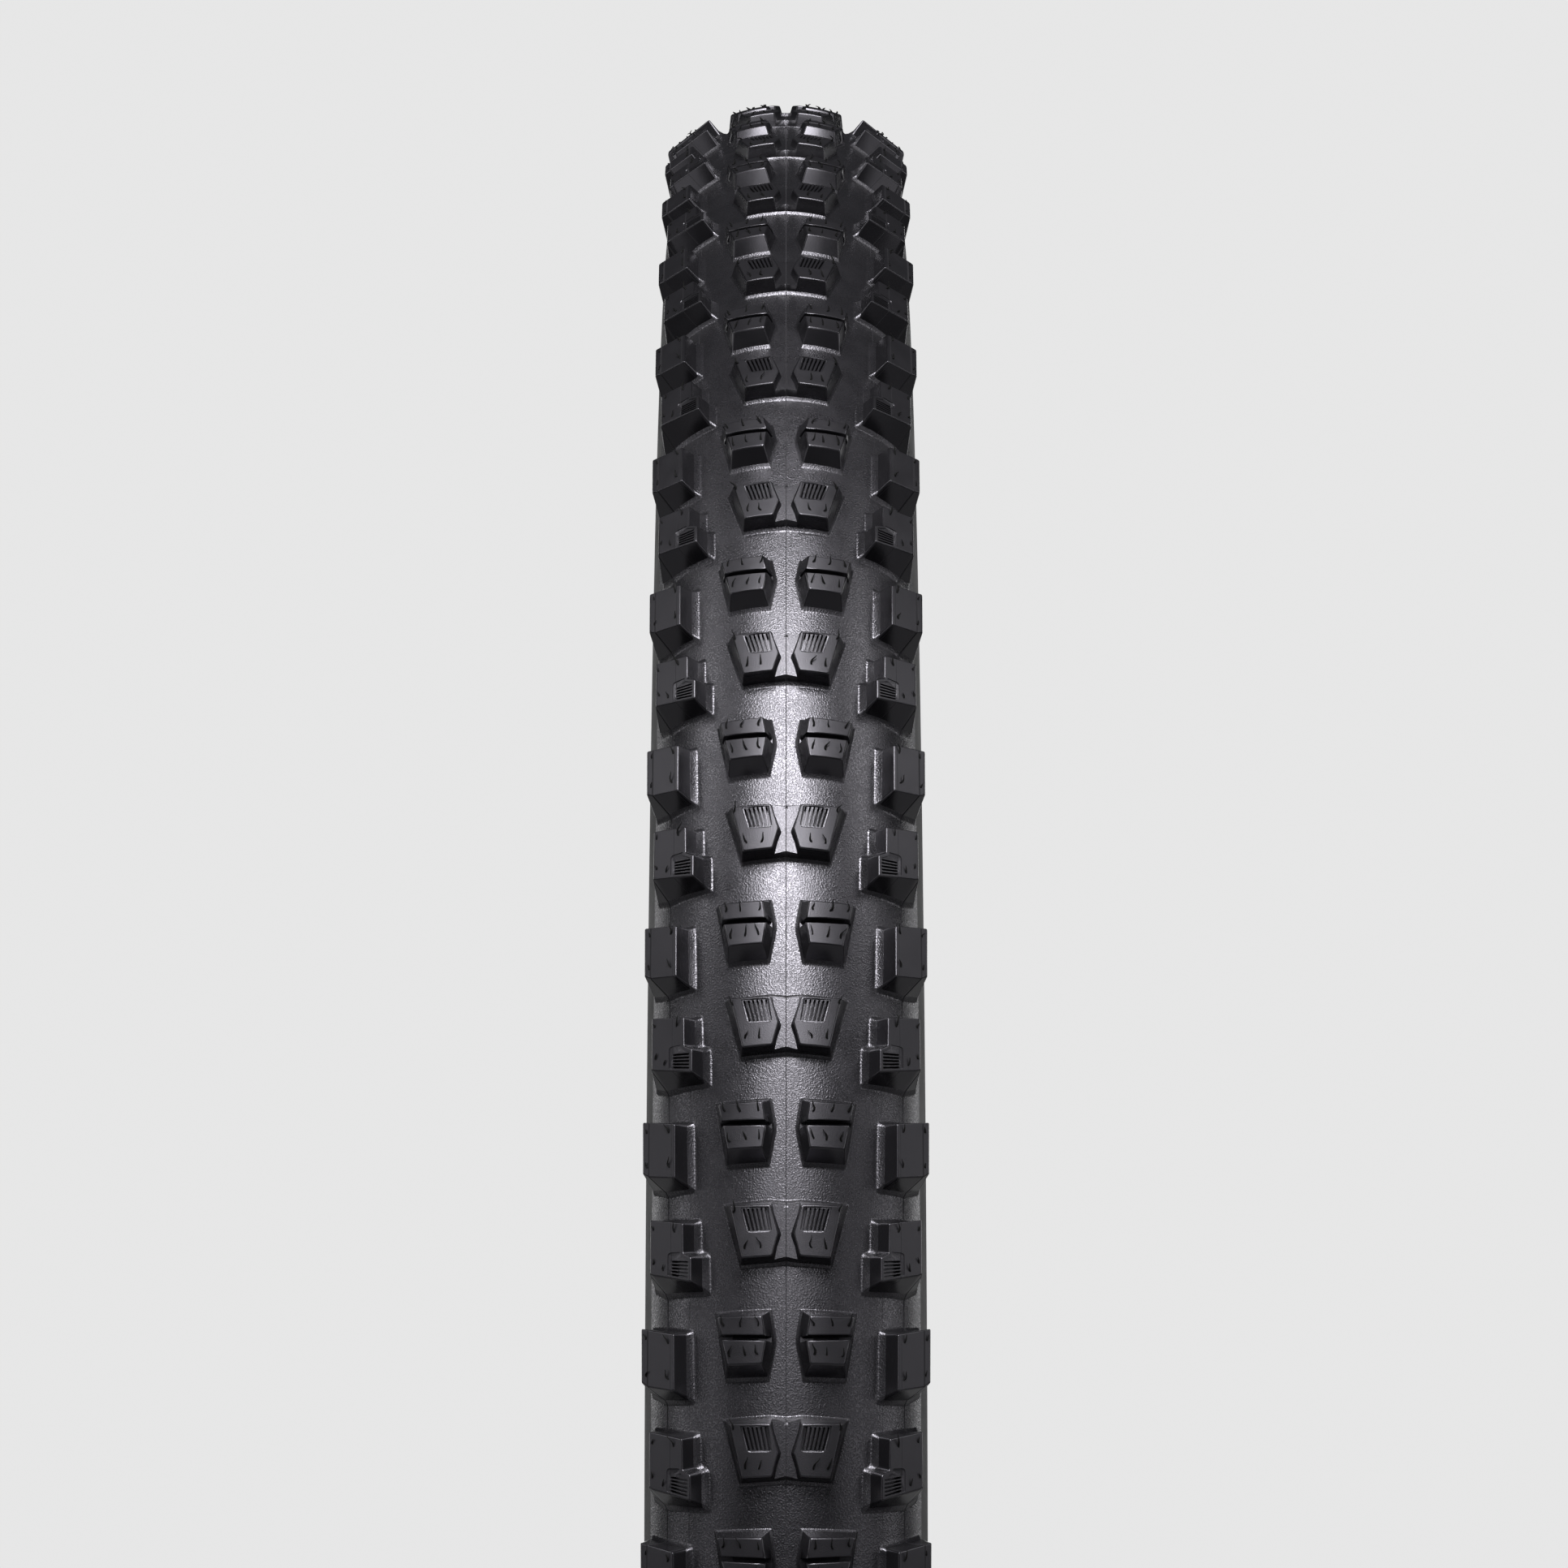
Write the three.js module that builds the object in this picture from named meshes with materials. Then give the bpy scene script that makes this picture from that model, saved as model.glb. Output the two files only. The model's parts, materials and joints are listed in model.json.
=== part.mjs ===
// A 29 x 2.3 inch knobby trail bicycle tire (ISO 58-622), in millimetres.
// The wheel axle is the Y axis, +Z is up and the origin is the wheel centre. Left is -Y, right is +Y.
//
// The tire is a stack of nested rings. Every ring has one facet for each tread pitch, and the facets
// of all rings meet at the same angles, so the gap between two layers stays even around the wheel.

import * as THREE from 'three';

// ---- Driving dimensions ------------------------------------------------------------------------

const BEAD_SEAT_RADIUS = 311;     // half of the 622 mm bead seat diameter
const EQUATOR_RADIUS = 336;       // where the casing is widest
const CASING_RISE = 29;           // from the equator up to the tread base at the centre line
const CASING_HALF_WIDTH = 29;
const CROWN_POWER = 2.2;          // 2 is an ellipse; a little more gives the fuller crown of a tire
const LOWER_WALL_RADIUS = 20;     // round of the sidewall below the equator
const LOWER_WALL_END = THREE.MathUtils.degToRad(54);
const BEAD_FACE_Y = 15;           // flat outer face of the bead, for a 30 mm rim
const BEAD_FACE_TOP = 316;

const KNOB_CROWN_RADIUS = 369;    // top of the tread blocks at the centre line
const KNOB_CROWN_ROUND = 39.5;    // crosswise radius over the centre blocks
const SHOULDER_TOP = { y: 20.4, r: 364.4, fall: 0.784 };

const PITCHES = 52;               // tread pattern repeats around the wheel
const STEP = 2 * Math.PI / PITCHES;
const FACET_EDGE = THREE.MathUtils.degToRad(1.47); // an edge between facets that all blocks miss

const CENTER_STRIP_EDGE = 15.1;   // seam between centre and shoulder rubber
const SHOULDER_FOLD_Y = 24;       // facet edge along the shoulder rubber
const SHOULDER_STRIP_EDGE = 27.5; // seam between shoulder rubber and sidewall
const BREAKER_HALF_WIDTH = 21;
const GAP = 0.15;                 // between two pieces that touch on the real tire
const CENTER_SEAM_SLANT = 0.8;    // how far a seam's underside stands back from its top
const SHOULDER_SEAM_SLANT = 1;

// Depth of each layer's two faces below the outer contour, under the tread and on the sidewall.
const LAYER = {
  rubber: { tread: [0, 1.8], side: [0, 0.8] },
  breaker: { tread: [1.95, 2.4], side: [1.95, 2.4] },
  ply: { tread: [2.55, 3.15], side: [1.55, 2.15] },
};

// Bead, right side.
const BEAD_TOE_Y = 10.4;
const BEAD_CORE = { innerY: 11.05, outerY: 13.7, bottom: 312.35, top: 315.15 };
const FILLER = { tip: { y: 16.4, r: 318.75 }, overCore: 0.2, outerHeight: 1.5, innerInset: 0.5 };
const CHAFER_THICKNESS = 0.5;
const CHAFER_END = { outside: { y: 17.8, r: 317.7 }, inside: { y: 17.5, r: 318.2 } };
const CHAFER_BEND_RISE = 0.25;    // the chafer's inner face bends higher up than its outer face
const PLY_THICKNESS = 0.45;       // where the ply is folded round the bead core
const PLY_BEND_RADIUS = { inside: 316.7, outside: 316.4 };
const PLY_HEEL_RISE = { inside: 0.3, outside: 0.6 };
const PLY_END = { inside: { y: 18.4, r: 319.9 }, outside: { y: 18.75, r: 319.45 } };
const SIDEWALL_FOOT = { outside: { y: 18.1, r: 317.9 }, inside: { y: 17.65, r: 318.52 } };

// ---- Materials ---------------------------------------------------------------------------------

function material(color, roughness) {
  return new THREE.MeshStandardMaterial({ color, roughness, metalness: 0 });
}

const treadRubber = material(0x2b2a30, 0.62);
const shoulderRubber = material(0x2a2930, 0.62);
const sidewallRubber = material(0x26262a, 0.7);
const breakerFabric = material(0x4c4438, 0.85);
const plyFabric = material(0x3a3733, 0.85);
const chaferFabric = material(0x222226, 0.9);
const beadAramid = material(0xc9a640, 0.6);
const fillerRubber = material(0x303034, 0.75);

// ---- Cross-section -----------------------------------------------------------------------------
// A point of the section is { y, r }: sideways from the centre line, and out from the axle.

function crownRadius(y) {
  const share = Math.abs(y) / CASING_HALF_WIDTH;
  return EQUATOR_RADIUS + CASING_RISE * (1 - share ** CROWN_POWER) ** (1 / CROWN_POWER);
}

function crownPoint(y) {
  return { y, r: crownRadius(y) };
}

function lowerWallPoint(angle) {
  const centerY = CASING_HALF_WIDTH - LOWER_WALL_RADIUS;
  return {
    y: centerY + LOWER_WALL_RADIUS * Math.cos(angle),
    r: EQUATOR_RADIUS - LOWER_WALL_RADIUS * Math.sin(angle),
  };
}

// Stations of the right half, from the centre line down to the bead, with the outward normal of
// each as an angle up from the Y axis. All hidden layers have their corners at these stations.
const STATIONS = [
  { ...crownPoint(0), normal: 90, zone: 'tread' },
  { ...crownPoint(CENTER_STRIP_EDGE), normal: 63, zone: 'tread' },
  { ...crownPoint(SHOULDER_FOLD_Y), normal: 40, zone: 'tread' },
  { ...crownPoint(CASING_HALF_WIDTH), normal: 5, zone: 'side' },
  { ...lowerWallPoint(LOWER_WALL_END / 2), normal: -27, zone: 'side' },
  { ...lowerWallPoint(LOWER_WALL_END), normal: -54, zone: 'side' },
];

const FOLD_STATION = 2;
const EQUATOR_STATION = 3;

function sunkStation(index, layer, face) {
  const station = STATIONS[index];
  const depth = LAYER[layer][station.zone][face];
  const angle = THREE.MathUtils.degToRad(station.normal);
  return { y: station.y - depth * Math.cos(angle), r: station.r - depth * Math.sin(angle) };
}

// The point of a layer's face at a given sideways position, on its straight run between stations.
function facePoint(y, layer, face) {
  const points = STATIONS.slice(0, EQUATOR_STATION + 1).map((_, index) => sunkStation(index, layer, face));
  const next = Math.max(1, points.findIndex((point) => point.y >= y));
  const from = points[next - 1];
  const to = points[next];
  const share = (y - from.y) / (to.y - from.y);
  return { y, r: THREE.MathUtils.lerp(from.r, to.r, share) };
}

function mirrored(points) {
  return points.map(({ y, r }) => ({ y: -y, r })).reverse();
}

// A face that runs on over the centre line, from the right half's points.
function acrossCenter(rightHalf) {
  return [...mirrored(rightHalf.slice(1)), ...rightHalf];
}

// ---- Solids ------------------------------------------------------------------------------------

// Revolves a section about the axle. outer and inner both run from left to right.
function ring(outer, inner) {
  const outline = [...outer, ...inner.slice().reverse(), outer[0]];
  const profile = outline.map(({ y, r }) => new THREE.Vector2(r, y));
  return new THREE.LatheGeometry(profile, PITCHES, -FACET_EDGE, 2 * Math.PI);
}

// A ring on one side only; its faces are given for the right side, going clockwise.
function sideRing(side, outer, inner) {
  return side > 0 ? ring(outer, inner) : ring(mirrored(outer), mirrored(inner));
}

// ---- Tread blocks ------------------------------------------------------------------------------
// A corner of a block is [y, s]: sideways, and along the tread from the middle of its row. All
// outlines are drawn for the right side, anticlockwise seen from outside with +Y right and +s up.

function centerTopRadius(y) {
  return KNOB_CROWN_RADIUS - y * y / (2 * KNOB_CROWN_ROUND);
}

function shoulderTopRadius(y) {
  return SHOULDER_TOP.r - (Math.abs(y) - SHOULDER_TOP.y) * SHOULDER_TOP.fall;
}

// Centre block with one sipe across it, cut back on its outer trailing corner.
const SPLIT_BLOCK = {
  row: 0,
  topRadius: centerTopRadius,
  top: [[13.85, 4.95], [4.85, 4.85], [4.2, 0], [4.85, -4.85], [11.8, -4.9]],
  root: [[14.5, 6.4], [3.1, 6.6], [2.2, 0.6], [3.5, -7.5], [12, -7.6]],
};

// Centre block of the paired rows, narrower and closer to the centre line.
const PAIRED_BLOCK = {
  row: -0.5,
  topRadius: centerTopRadius,
  top: [[11.3, 5.5], [3.1, 5.4], [1.6, -0.5], [2.8, -5.4], [8.95, -5.6]],
  root: [[12.8, 6.7], [2.5, 6.9], [1.2, 0], [2.3, -7], [9.4, -7.3]],
};

// Shoulder block beside the split block.
const SHOULDER_BLOCK = {
  row: 0,
  topRadius: shoulderTopRadius,
  top: [[29.35, 4.1], [22.7, 2.1], [22.7, -9.7], [29.25, -7.2]],
  root: [[27, 5.3], [19.1, 3.1], [18.9, -11.5], [27, -8.7]],
};

// Shoulder block beside the paired block: its trailing half steps towards the centre line.
const STEPPED_BLOCK = {
  row: -0.5,
  topRadius: shoulderTopRadius,
  top: [[27.6, 4.7], [20.95, 2.7], [20.85, -3.6], [19.3, -4.8], [19.25, -9.9], [27.55, -7.1]],
  root: [[26.5, 5.9], [17.6, 3.9], [17.5, -2.8], [15.9, -3.6], [15.8, -11.5], [26.5, -8.6]],
};

function mirroredBlock(block) {
  const flip = (outline) => outline.map(([y, s]) => [-y, s]).reverse();
  return { ...block, top: flip(block.top), root: flip(block.root) };
}

// ---- Tread strips ------------------------------------------------------------------------------
// A strip is meshed pitch by pitch: its outer face has an opening at the root of each block, and
// the block's walls rise from that opening, so strip and blocks are one body.

class Shell {
  positions = [];

  index = [];

  point(y, radius, angle) {
    this.positions.push(radius * Math.cos(angle), y, radius * Math.sin(angle));
    return this.positions.length / 3 - 1;
  }

  // A band of quads between two equally long chains of points.
  band(near, far) {
    for (let i = 0; i + 1 < near.length; i += 1) {
      this.index.push(near[i], near[i + 1], far[i + 1], near[i], far[i + 1], far[i]);
    }
  }

  // A patch with openings. Each outline is { points, flat }, flat being its plan in the plane.
  patch(outline, openings) {
    const points = [outline, ...openings].flatMap((part) => part.points);
    const holes = openings.map((opening) => opening.flat);
    for (const triangle of THREE.ShapeUtils.triangulateShape(outline.flat, holes)) {
      this.index.push(...triangle.map((corner) => points[corner]));
    }
  }

  geometry() {
    const geometry = new THREE.BufferGeometry();
    geometry.setAttribute('position', new THREE.Float32BufferAttribute(this.positions, 3));
    geometry.setIndex(this.index);
    geometry.computeVertexNormals();
    return geometry;
  }
}

function ringOutline(shell, outline, rowAngle, radiusAt) {
  return {
    points: outline.map(([y, s]) => shell.point(y, radiusAt(y), rowAngle + s / KNOB_CROWN_RADIUS)),
    flat: outline.map(([y, s]) => new THREE.Vector2(y, rowAngle * KNOB_CROWN_RADIUS + s)),
  };
}

// Adds one block to the shell and returns the opening that it stands on.
function raiseBlock(shell, block, pitch) {
  const rowAngle = (pitch + block.row) * STEP;
  const root = ringOutline(shell, block.root, rowAngle, crownRadius);
  const top = ringOutline(shell, block.top, rowAngle, block.topRadius);
  shell.band([...root.points, root.points[0]], [...top.points, top.points[0]]);
  shell.patch(top, []);
  return root;
}

// outer holds the sideways corners of the strip's face, inner the points of its underside; both
// run from left to right.
function treadStrip(outer, inner, blocks) {
  const shell = new Shell();
  const lineAngle = (pitch) => FACET_EDGE + (pitch - 1) * STEP;
  const lines = Array.from({ length: PITCHES }, (_, pitch) => ({
    outer: outer.map((y) => shell.point(y, crownRadius(y), lineAngle(pitch))),
    inner: inner.map(({ y, r }) => shell.point(y, r, lineAngle(pitch))),
  }));
  const flatLine = (pitch) => outer.map((y) => new THREE.Vector2(y, lineAngle(pitch) * KNOB_CROWN_RADIUS));
  const underside = (line) => [line.outer.at(-1), ...line.inner.toReversed(), line.outer[0]];

  for (let pitch = 0; pitch < PITCHES; pitch += 1) {
    const near = lines[pitch];
    const far = lines[(pitch + 1) % PITCHES];
    shell.band(underside(near), underside(far));
    const face = {
      points: [...near.outer, ...far.outer.toReversed()],
      flat: [...flatLine(pitch), ...flatLine(pitch + 1).reverse()],
    };
    shell.patch(face, blocks.map((block) => raiseBlock(shell, block, pitch)));
  }
  return shell.geometry();
}

// ---- Sub-parts ---------------------------------------------------------------------------------

function treadCenter() {
  const edge = CENTER_STRIP_EDGE - GAP / 2;
  const inner = acrossCenter([facePoint(0, 'rubber', 1), facePoint(edge - CENTER_SEAM_SLANT, 'rubber', 1)]);
  const blocks = [SPLIT_BLOCK, PAIRED_BLOCK].flatMap((block) => [block, mirroredBlock(block)]);
  return treadStrip([-edge, 0, edge], inner, blocks);
}

function treadShoulder(side) {
  const from = CENTER_STRIP_EDGE + GAP / 2;
  const to = SHOULDER_STRIP_EDGE;
  const outer = [from, SHOULDER_FOLD_Y, to];
  const inner = [
    facePoint(from - CENTER_SEAM_SLANT, 'rubber', 1),
    sunkStation(FOLD_STATION, 'rubber', 1),
    facePoint(to - SHOULDER_SEAM_SLANT, 'rubber', 1),
  ];
  const blocks = [SHOULDER_BLOCK, STEPPED_BLOCK];
  return side > 0
    ? treadStrip(outer, inner, blocks)
    : treadStrip(outer.map((y) => -y).reverse(), mirrored(inner), blocks.map(mirroredBlock));
}

function sidewall(side) {
  const belowSeam = ({ y, r }) => ({ y: y + GAP / 3, r: r - GAP });
  const outer = [
    belowSeam(crownPoint(SHOULDER_STRIP_EDGE)),
    crownPoint(CASING_HALF_WIDTH),
    lowerWallPoint(LOWER_WALL_END / 4),
    lowerWallPoint(LOWER_WALL_END / 2),
    lowerWallPoint(LOWER_WALL_END),
    SIDEWALL_FOOT.outside,
  ];
  const inner = [
    belowSeam(facePoint(SHOULDER_STRIP_EDGE - SHOULDER_SEAM_SLANT, 'rubber', 1)),
    ...STATIONS.slice(EQUATOR_STATION).map((_, index) => sunkStation(EQUATOR_STATION + index, 'rubber', 1)),
    SIDEWALL_FOOT.inside,
  ];
  return sideRing(side, outer, inner);
}

function breakerBelt() {
  const face = (index) => acrossCenter([
    facePoint(0, 'breaker', index),
    sunkStation(1, 'breaker', index),
    facePoint(BREAKER_HALF_WIDTH, 'breaker', index),
  ]);
  return ring(face(0), face(1));
}

function chafer(side) {
  const innerY = BEAD_FACE_Y - CHAFER_THICKNESS;
  const upperSide = BEAD_SEAT_RADIUS + CHAFER_THICKNESS;
  const outside = [
    CHAFER_END.outside,
    { y: BEAD_FACE_Y, r: BEAD_FACE_TOP },
    { y: BEAD_FACE_Y, r: BEAD_SEAT_RADIUS },
    { y: BEAD_TOE_Y, r: BEAD_SEAT_RADIUS },
  ];
  const inside = [
    CHAFER_END.inside,
    { y: innerY, r: BEAD_FACE_TOP + CHAFER_BEND_RISE },
    { y: innerY, r: upperSide },
    { y: BEAD_TOE_Y, r: upperSide },
  ];
  return sideRing(side, outside, inside);
}

// The casing ply runs from bead to bead inside everything else, passes under each bead core and is
// turned up outside it, over the bead filler.
function casingPly() {
  const underside = BEAD_SEAT_RADIUS + CHAFER_THICKNESS + GAP;
  const outsideY = BEAD_FACE_Y - CHAFER_THICKNESS - GAP;
  const t = PLY_THICKNESS;
  const outer = STATIONS.map((_, index) => sunkStation(index, 'ply', 0));
  const inner = STATIONS.map((_, index) => sunkStation(index, 'ply', 1));
  const aroundCore = [
    { y: BEAD_TOE_Y + t, r: BEAD_CORE.top + PLY_HEEL_RISE.inside },
    { y: BEAD_TOE_Y + t, r: underside + t },
    { y: outsideY - t, r: underside + t },
    { y: outsideY - t, r: PLY_BEND_RADIUS.inside },
    PLY_END.inside,
  ];
  const aroundChafer = [
    { y: BEAD_TOE_Y, r: BEAD_CORE.top + PLY_HEEL_RISE.outside },
    { y: BEAD_TOE_Y, r: underside },
    { y: outsideY, r: underside },
    { y: outsideY, r: PLY_BEND_RADIUS.outside },
    PLY_END.outside,
  ];
  return ring(acrossCenter([...outer, ...aroundCore]), acrossCenter([...inner, ...aroundChafer]));
}

function beadCore(side) {
  const { innerY, outerY, bottom, top } = BEAD_CORE;
  const upper = [{ y: innerY, r: top }, { y: outerY, r: top }];
  const lower = [{ y: innerY, r: bottom }, { y: outerY, r: bottom }];
  return sideRing(side, upper, lower);
}

// A soft wedge that fills the space inside the casing ply's fold, above the bead core.
function beadFiller(side) {
  const { innerY, outerY, top } = BEAD_CORE;
  const bottom = top + FILLER.overCore;
  const upper = [{ y: innerY + FILLER.innerInset, r: bottom }, FILLER.tip];
  const lower = [{ y: outerY, r: bottom }, { y: outerY, r: top + FILLER.outerHeight }];
  return sideRing(side, upper, lower);
}

// ---- Assembly ----------------------------------------------------------------------------------

const group = new THREE.Group();

function addPart(name, geometry, finish) {
  const mesh = new THREE.Mesh(geometry, finish);
  mesh.name = name;
  group.add(mesh);
}

addPart('tread_center', treadCenter(), treadRubber);
addPart('breaker_belt', breakerBelt(), breakerFabric);
addPart('casing_ply', casingPly(), plyFabric);

for (const [name, side] of [['left', -1], ['right', 1]]) {
  addPart(`tread_shoulder_${name}`, treadShoulder(side), shoulderRubber);
  addPart(`sidewall_${name}`, sidewall(side), sidewallRubber);
  addPart(`chafer_${name}`, chafer(side), chaferFabric);
  addPart(`bead_core_${name}`, beadCore(side), beadAramid);
  addPart(`bead_filler_${name}`, beadFiller(side), fillerRubber);
}

export default group;
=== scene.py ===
"""A 29 x 2.3 inch knobby trail bicycle tire.

The sizes in this script are millimetres until a mesh is made; the scene is in metres. The wheel axle is the
Y axis, +Z is up and the origin is the wheel centre. The tread is drawn in plan: u runs sideways round the
casing's section and s runs along the tread. rho is the distance out from the middle of the section.
"""

import json
import math
import random

import bpy
import numpy as np
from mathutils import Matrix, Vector
from mathutils.geometry import delaunay_2d_cdt


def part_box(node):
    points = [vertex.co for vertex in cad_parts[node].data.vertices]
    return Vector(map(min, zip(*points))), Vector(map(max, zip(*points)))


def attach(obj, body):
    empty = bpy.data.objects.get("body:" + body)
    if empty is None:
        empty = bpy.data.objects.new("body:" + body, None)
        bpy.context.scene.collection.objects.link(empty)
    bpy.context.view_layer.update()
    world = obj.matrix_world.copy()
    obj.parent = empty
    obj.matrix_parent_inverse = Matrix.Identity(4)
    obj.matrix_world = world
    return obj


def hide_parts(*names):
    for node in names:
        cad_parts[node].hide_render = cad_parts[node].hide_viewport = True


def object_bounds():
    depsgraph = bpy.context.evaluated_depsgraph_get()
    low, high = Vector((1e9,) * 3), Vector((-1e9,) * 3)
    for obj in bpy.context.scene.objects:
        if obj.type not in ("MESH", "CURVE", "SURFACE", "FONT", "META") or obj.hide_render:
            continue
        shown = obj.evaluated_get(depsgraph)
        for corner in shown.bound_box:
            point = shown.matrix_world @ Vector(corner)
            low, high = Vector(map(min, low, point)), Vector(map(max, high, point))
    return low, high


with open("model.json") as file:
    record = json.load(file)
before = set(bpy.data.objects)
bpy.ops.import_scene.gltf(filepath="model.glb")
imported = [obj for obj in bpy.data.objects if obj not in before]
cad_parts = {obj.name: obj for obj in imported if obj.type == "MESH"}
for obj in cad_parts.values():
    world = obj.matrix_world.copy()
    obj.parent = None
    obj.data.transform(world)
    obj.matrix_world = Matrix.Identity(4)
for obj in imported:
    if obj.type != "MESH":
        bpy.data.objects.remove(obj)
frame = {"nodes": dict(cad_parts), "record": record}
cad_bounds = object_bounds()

# ---- Dimensions, in millimetres -----------------------------------------------------------------

MM = 0.001


def highest(node, axis):
    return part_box(node)[1][axis] / MM


def smallest_radius(node):
    return min(math.hypot(v.co.x, v.co.z) for v in frame["nodes"][node].data.vertices) / MM


def mount_point(name):
    mount = next(m for m in frame["record"]["mounts"] if m["name"] == name)
    return Vector(mount["pos_m"]) / MM


KNOB_CROWN_RADIUS = round(highest("tread_center", 2))    # top of the tread blocks at the centre line
CASING_HALF_WIDTH = round(highest("sidewall_right", 1))
BEAD_SEAT_RADIUS = smallest_radius("chafer_right")
BEAD_FACE_Y = mount_point("bead_face_right").y
CENTER_STRIP_EDGE = highest("tread_center", 1)           # seam between centre and shoulder rubber
SHOULDER_STRIP_EDGE = 27.5                               # seam between shoulder rubber and sidewall

EQUATOR_RADIUS = 336.0        # where the casing is widest
CROWN_POWER = 2.2             # 2 is an ellipse; a little more gives the fuller crown of a tire
LOWER_WALL_RADIUS = 20.0      # round of the sidewall below the equator
LOWER_WALL_END = math.radians(54)
KNOB_CROWN_ROUND = 39.5       # crosswise radius over the centre blocks
SHOULDER_TOP_Y = 20.4         # the shoulder blocks' tops are a cone through this point
SHOULDER_TOP_RADIUS = 364.4
SHOULDER_TOP_FALL = 0.784
TREAD_THICKNESS = 1.8

PITCHES = 52                  # tread pattern repeats around the wheel
STEP = 2 * math.pi / PITCHES
PITCH_LENGTH = STEP * KNOB_CROWN_RADIUS
DIVISIONS = 20                # grid cells of the tread base along one pitch
CELL = PITCH_LENGTH / DIVISIONS
PITCH_END = 4 * CELL          # a line across the tread that every block misses
PLAN_SCALE = 30.0             # plan millimetres for each radian round the section


# ---- Cross-section ------------------------------------------------------------------------------

def base_radius(y):
    share = abs(y) / CASING_HALF_WIDTH
    return EQUATOR_RADIUS + CASING_HALF_WIDTH * (1 - share ** CROWN_POWER) ** (1 / CROWN_POWER)


def center_top_radius(y):
    return KNOB_CROWN_RADIUS - y * y / (2 * KNOB_CROWN_ROUND)


def shoulder_top_radius(y):
    return SHOULDER_TOP_RADIUS - (abs(y) - SHOULDER_TOP_Y) * SHOULDER_TOP_FALL


def plan_u(y, radius_at):
    return PLAN_SCALE * math.atan2(y, radius_at(y) - EQUATOR_RADIUS)


def base_rho(u):
    angle = u / PLAN_SCALE
    power = abs(math.cos(angle)) ** CROWN_POWER + abs(math.sin(angle)) ** CROWN_POWER
    return CASING_HALF_WIDTH / power ** (1 / CROWN_POWER)


def center_top_rho(u):
    angle = u / PLAN_SCALE
    drop = KNOB_CROWN_RADIUS - KNOB_CROWN_ROUND - EQUATOR_RADIUS
    across = drop * math.sin(angle)
    return drop * math.cos(angle) + math.sqrt(KNOB_CROWN_ROUND ** 2 - across ** 2)


def shoulder_top_rho(u):
    angle = abs(u) / PLAN_SCALE
    height = SHOULDER_TOP_RADIUS - EQUATOR_RADIUS + SHOULDER_TOP_FALL * SHOULDER_TOP_Y
    return height / (math.cos(angle) + SHOULDER_TOP_FALL * math.sin(angle))


# ---- Plan outlines ------------------------------------------------------------------------------

def outward(start, end):
    along = (end - start).normalized()
    return Vector((along.y, -along.x))


STRAIGHT = 0.12               # two sides that turn by less than this sine are moved as one
CORNER_STEPS = 3
LONGEST_CUT = 0.4             # share of a side that the round of one corner may take


def grown(corners, width_of):
    """The outline with each side moved outwards by width_of(its outward direction)."""
    moved = []
    for i, here in enumerate(corners):
        before = outward(corners[i - 1], here)
        after = outward(here, corners[(i + 1) % len(corners)])
        by_before, by_after = width_of(before), width_of(after)
        turn = before.x * after.y - before.y * after.x
        if abs(turn) < STRAIGHT:
            moved.append(here + (before + after).normalized() * (by_before + by_after) / 2)
        else:
            shift_u = by_before * after.y - by_after * before.y
            shift_s = by_after * before.x - by_before * after.x
            moved.append(here + Vector((shift_u, shift_s)) / turn)
    return moved


def rounded(corners, roundings, splits):
    """The outline's points, and where each corner's points start. A corner rounded by 0 stays one point,
    and each side is split into so many equal parts."""
    arcs = []
    for i, here in enumerate(corners):
        to_last = corners[i - 1] - here
        to_next = corners[(i + 1) % len(corners)] - here
        if roundings[i] == 0:
            arcs.append([here.copy()])
            continue
        cut = min(roundings[i], LONGEST_CUT * to_last.length, LONGEST_CUT * to_next.length)
        first = here + to_last.normalized() * cut
        last = here + to_next.normalized() * cut
        shares = [step / CORNER_STEPS for step in range(CORNER_STEPS + 1)]
        arcs.append([first * (1 - t) ** 2 + here * 2 * t * (1 - t) + last * t * t for t in shares])
    points, starts = [], []
    for i, arc in enumerate(arcs):
        starts.append(len(points))
        following = arcs[(i + 1) % len(arcs)][0]
        points += arc
        points += [arc[-1].lerp(following, k / splits[i]) for k in range(1, splits[i])]
    return points, starts


def inside(point, loop):
    hit = False
    for i, a in enumerate(loop):
        b = loop[i - 1]
        if (a.y > point.y) != (b.y > point.y):
            if point.x < (b.x - a.x) * (point.y - a.y) / (b.y - a.y) + a.x:
                hit = not hit
    return hit


def clearance(point, loop):
    nearest = 1e9
    for i, a in enumerate(loop):
        run = loop[i - 1] - a
        t = max(0.0, min(1.0, (point - a).dot(run) / run.length_squared))
        nearest = min(nearest, (point - a - run * t).length)
    return nearest


def grid_points(outline, holes, spacing, margin):
    """Points of a grid that are inside the outline, outside the holes and clear of both."""
    low_x, high_x = min(p.x for p in outline), max(p.x for p in outline)
    low_y, high_y = min(p.y for p in outline), max(p.y for p in outline)
    columns = max(1, round((high_x - low_x) / spacing))
    rows = max(1, round((high_y - low_y) / spacing))
    found = []
    for i in range(1, columns):
        for j in range(1, rows):
            point = Vector((low_x + (high_x - low_x) * i / columns, low_y + (high_y - low_y) * j / rows))
            if inside(point, outline) and not any(inside(point, hole) for hole in holes):
                if min(clearance(point, loop) for loop in [outline, *holes]) > margin:
                    found.append(point)
    return found


# ---- Shell: the points and faces of one pitch of tread -------------------------------------------

THINNEST = 1e-5               # a smaller triangle only joins points that lie on one straight side


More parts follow.
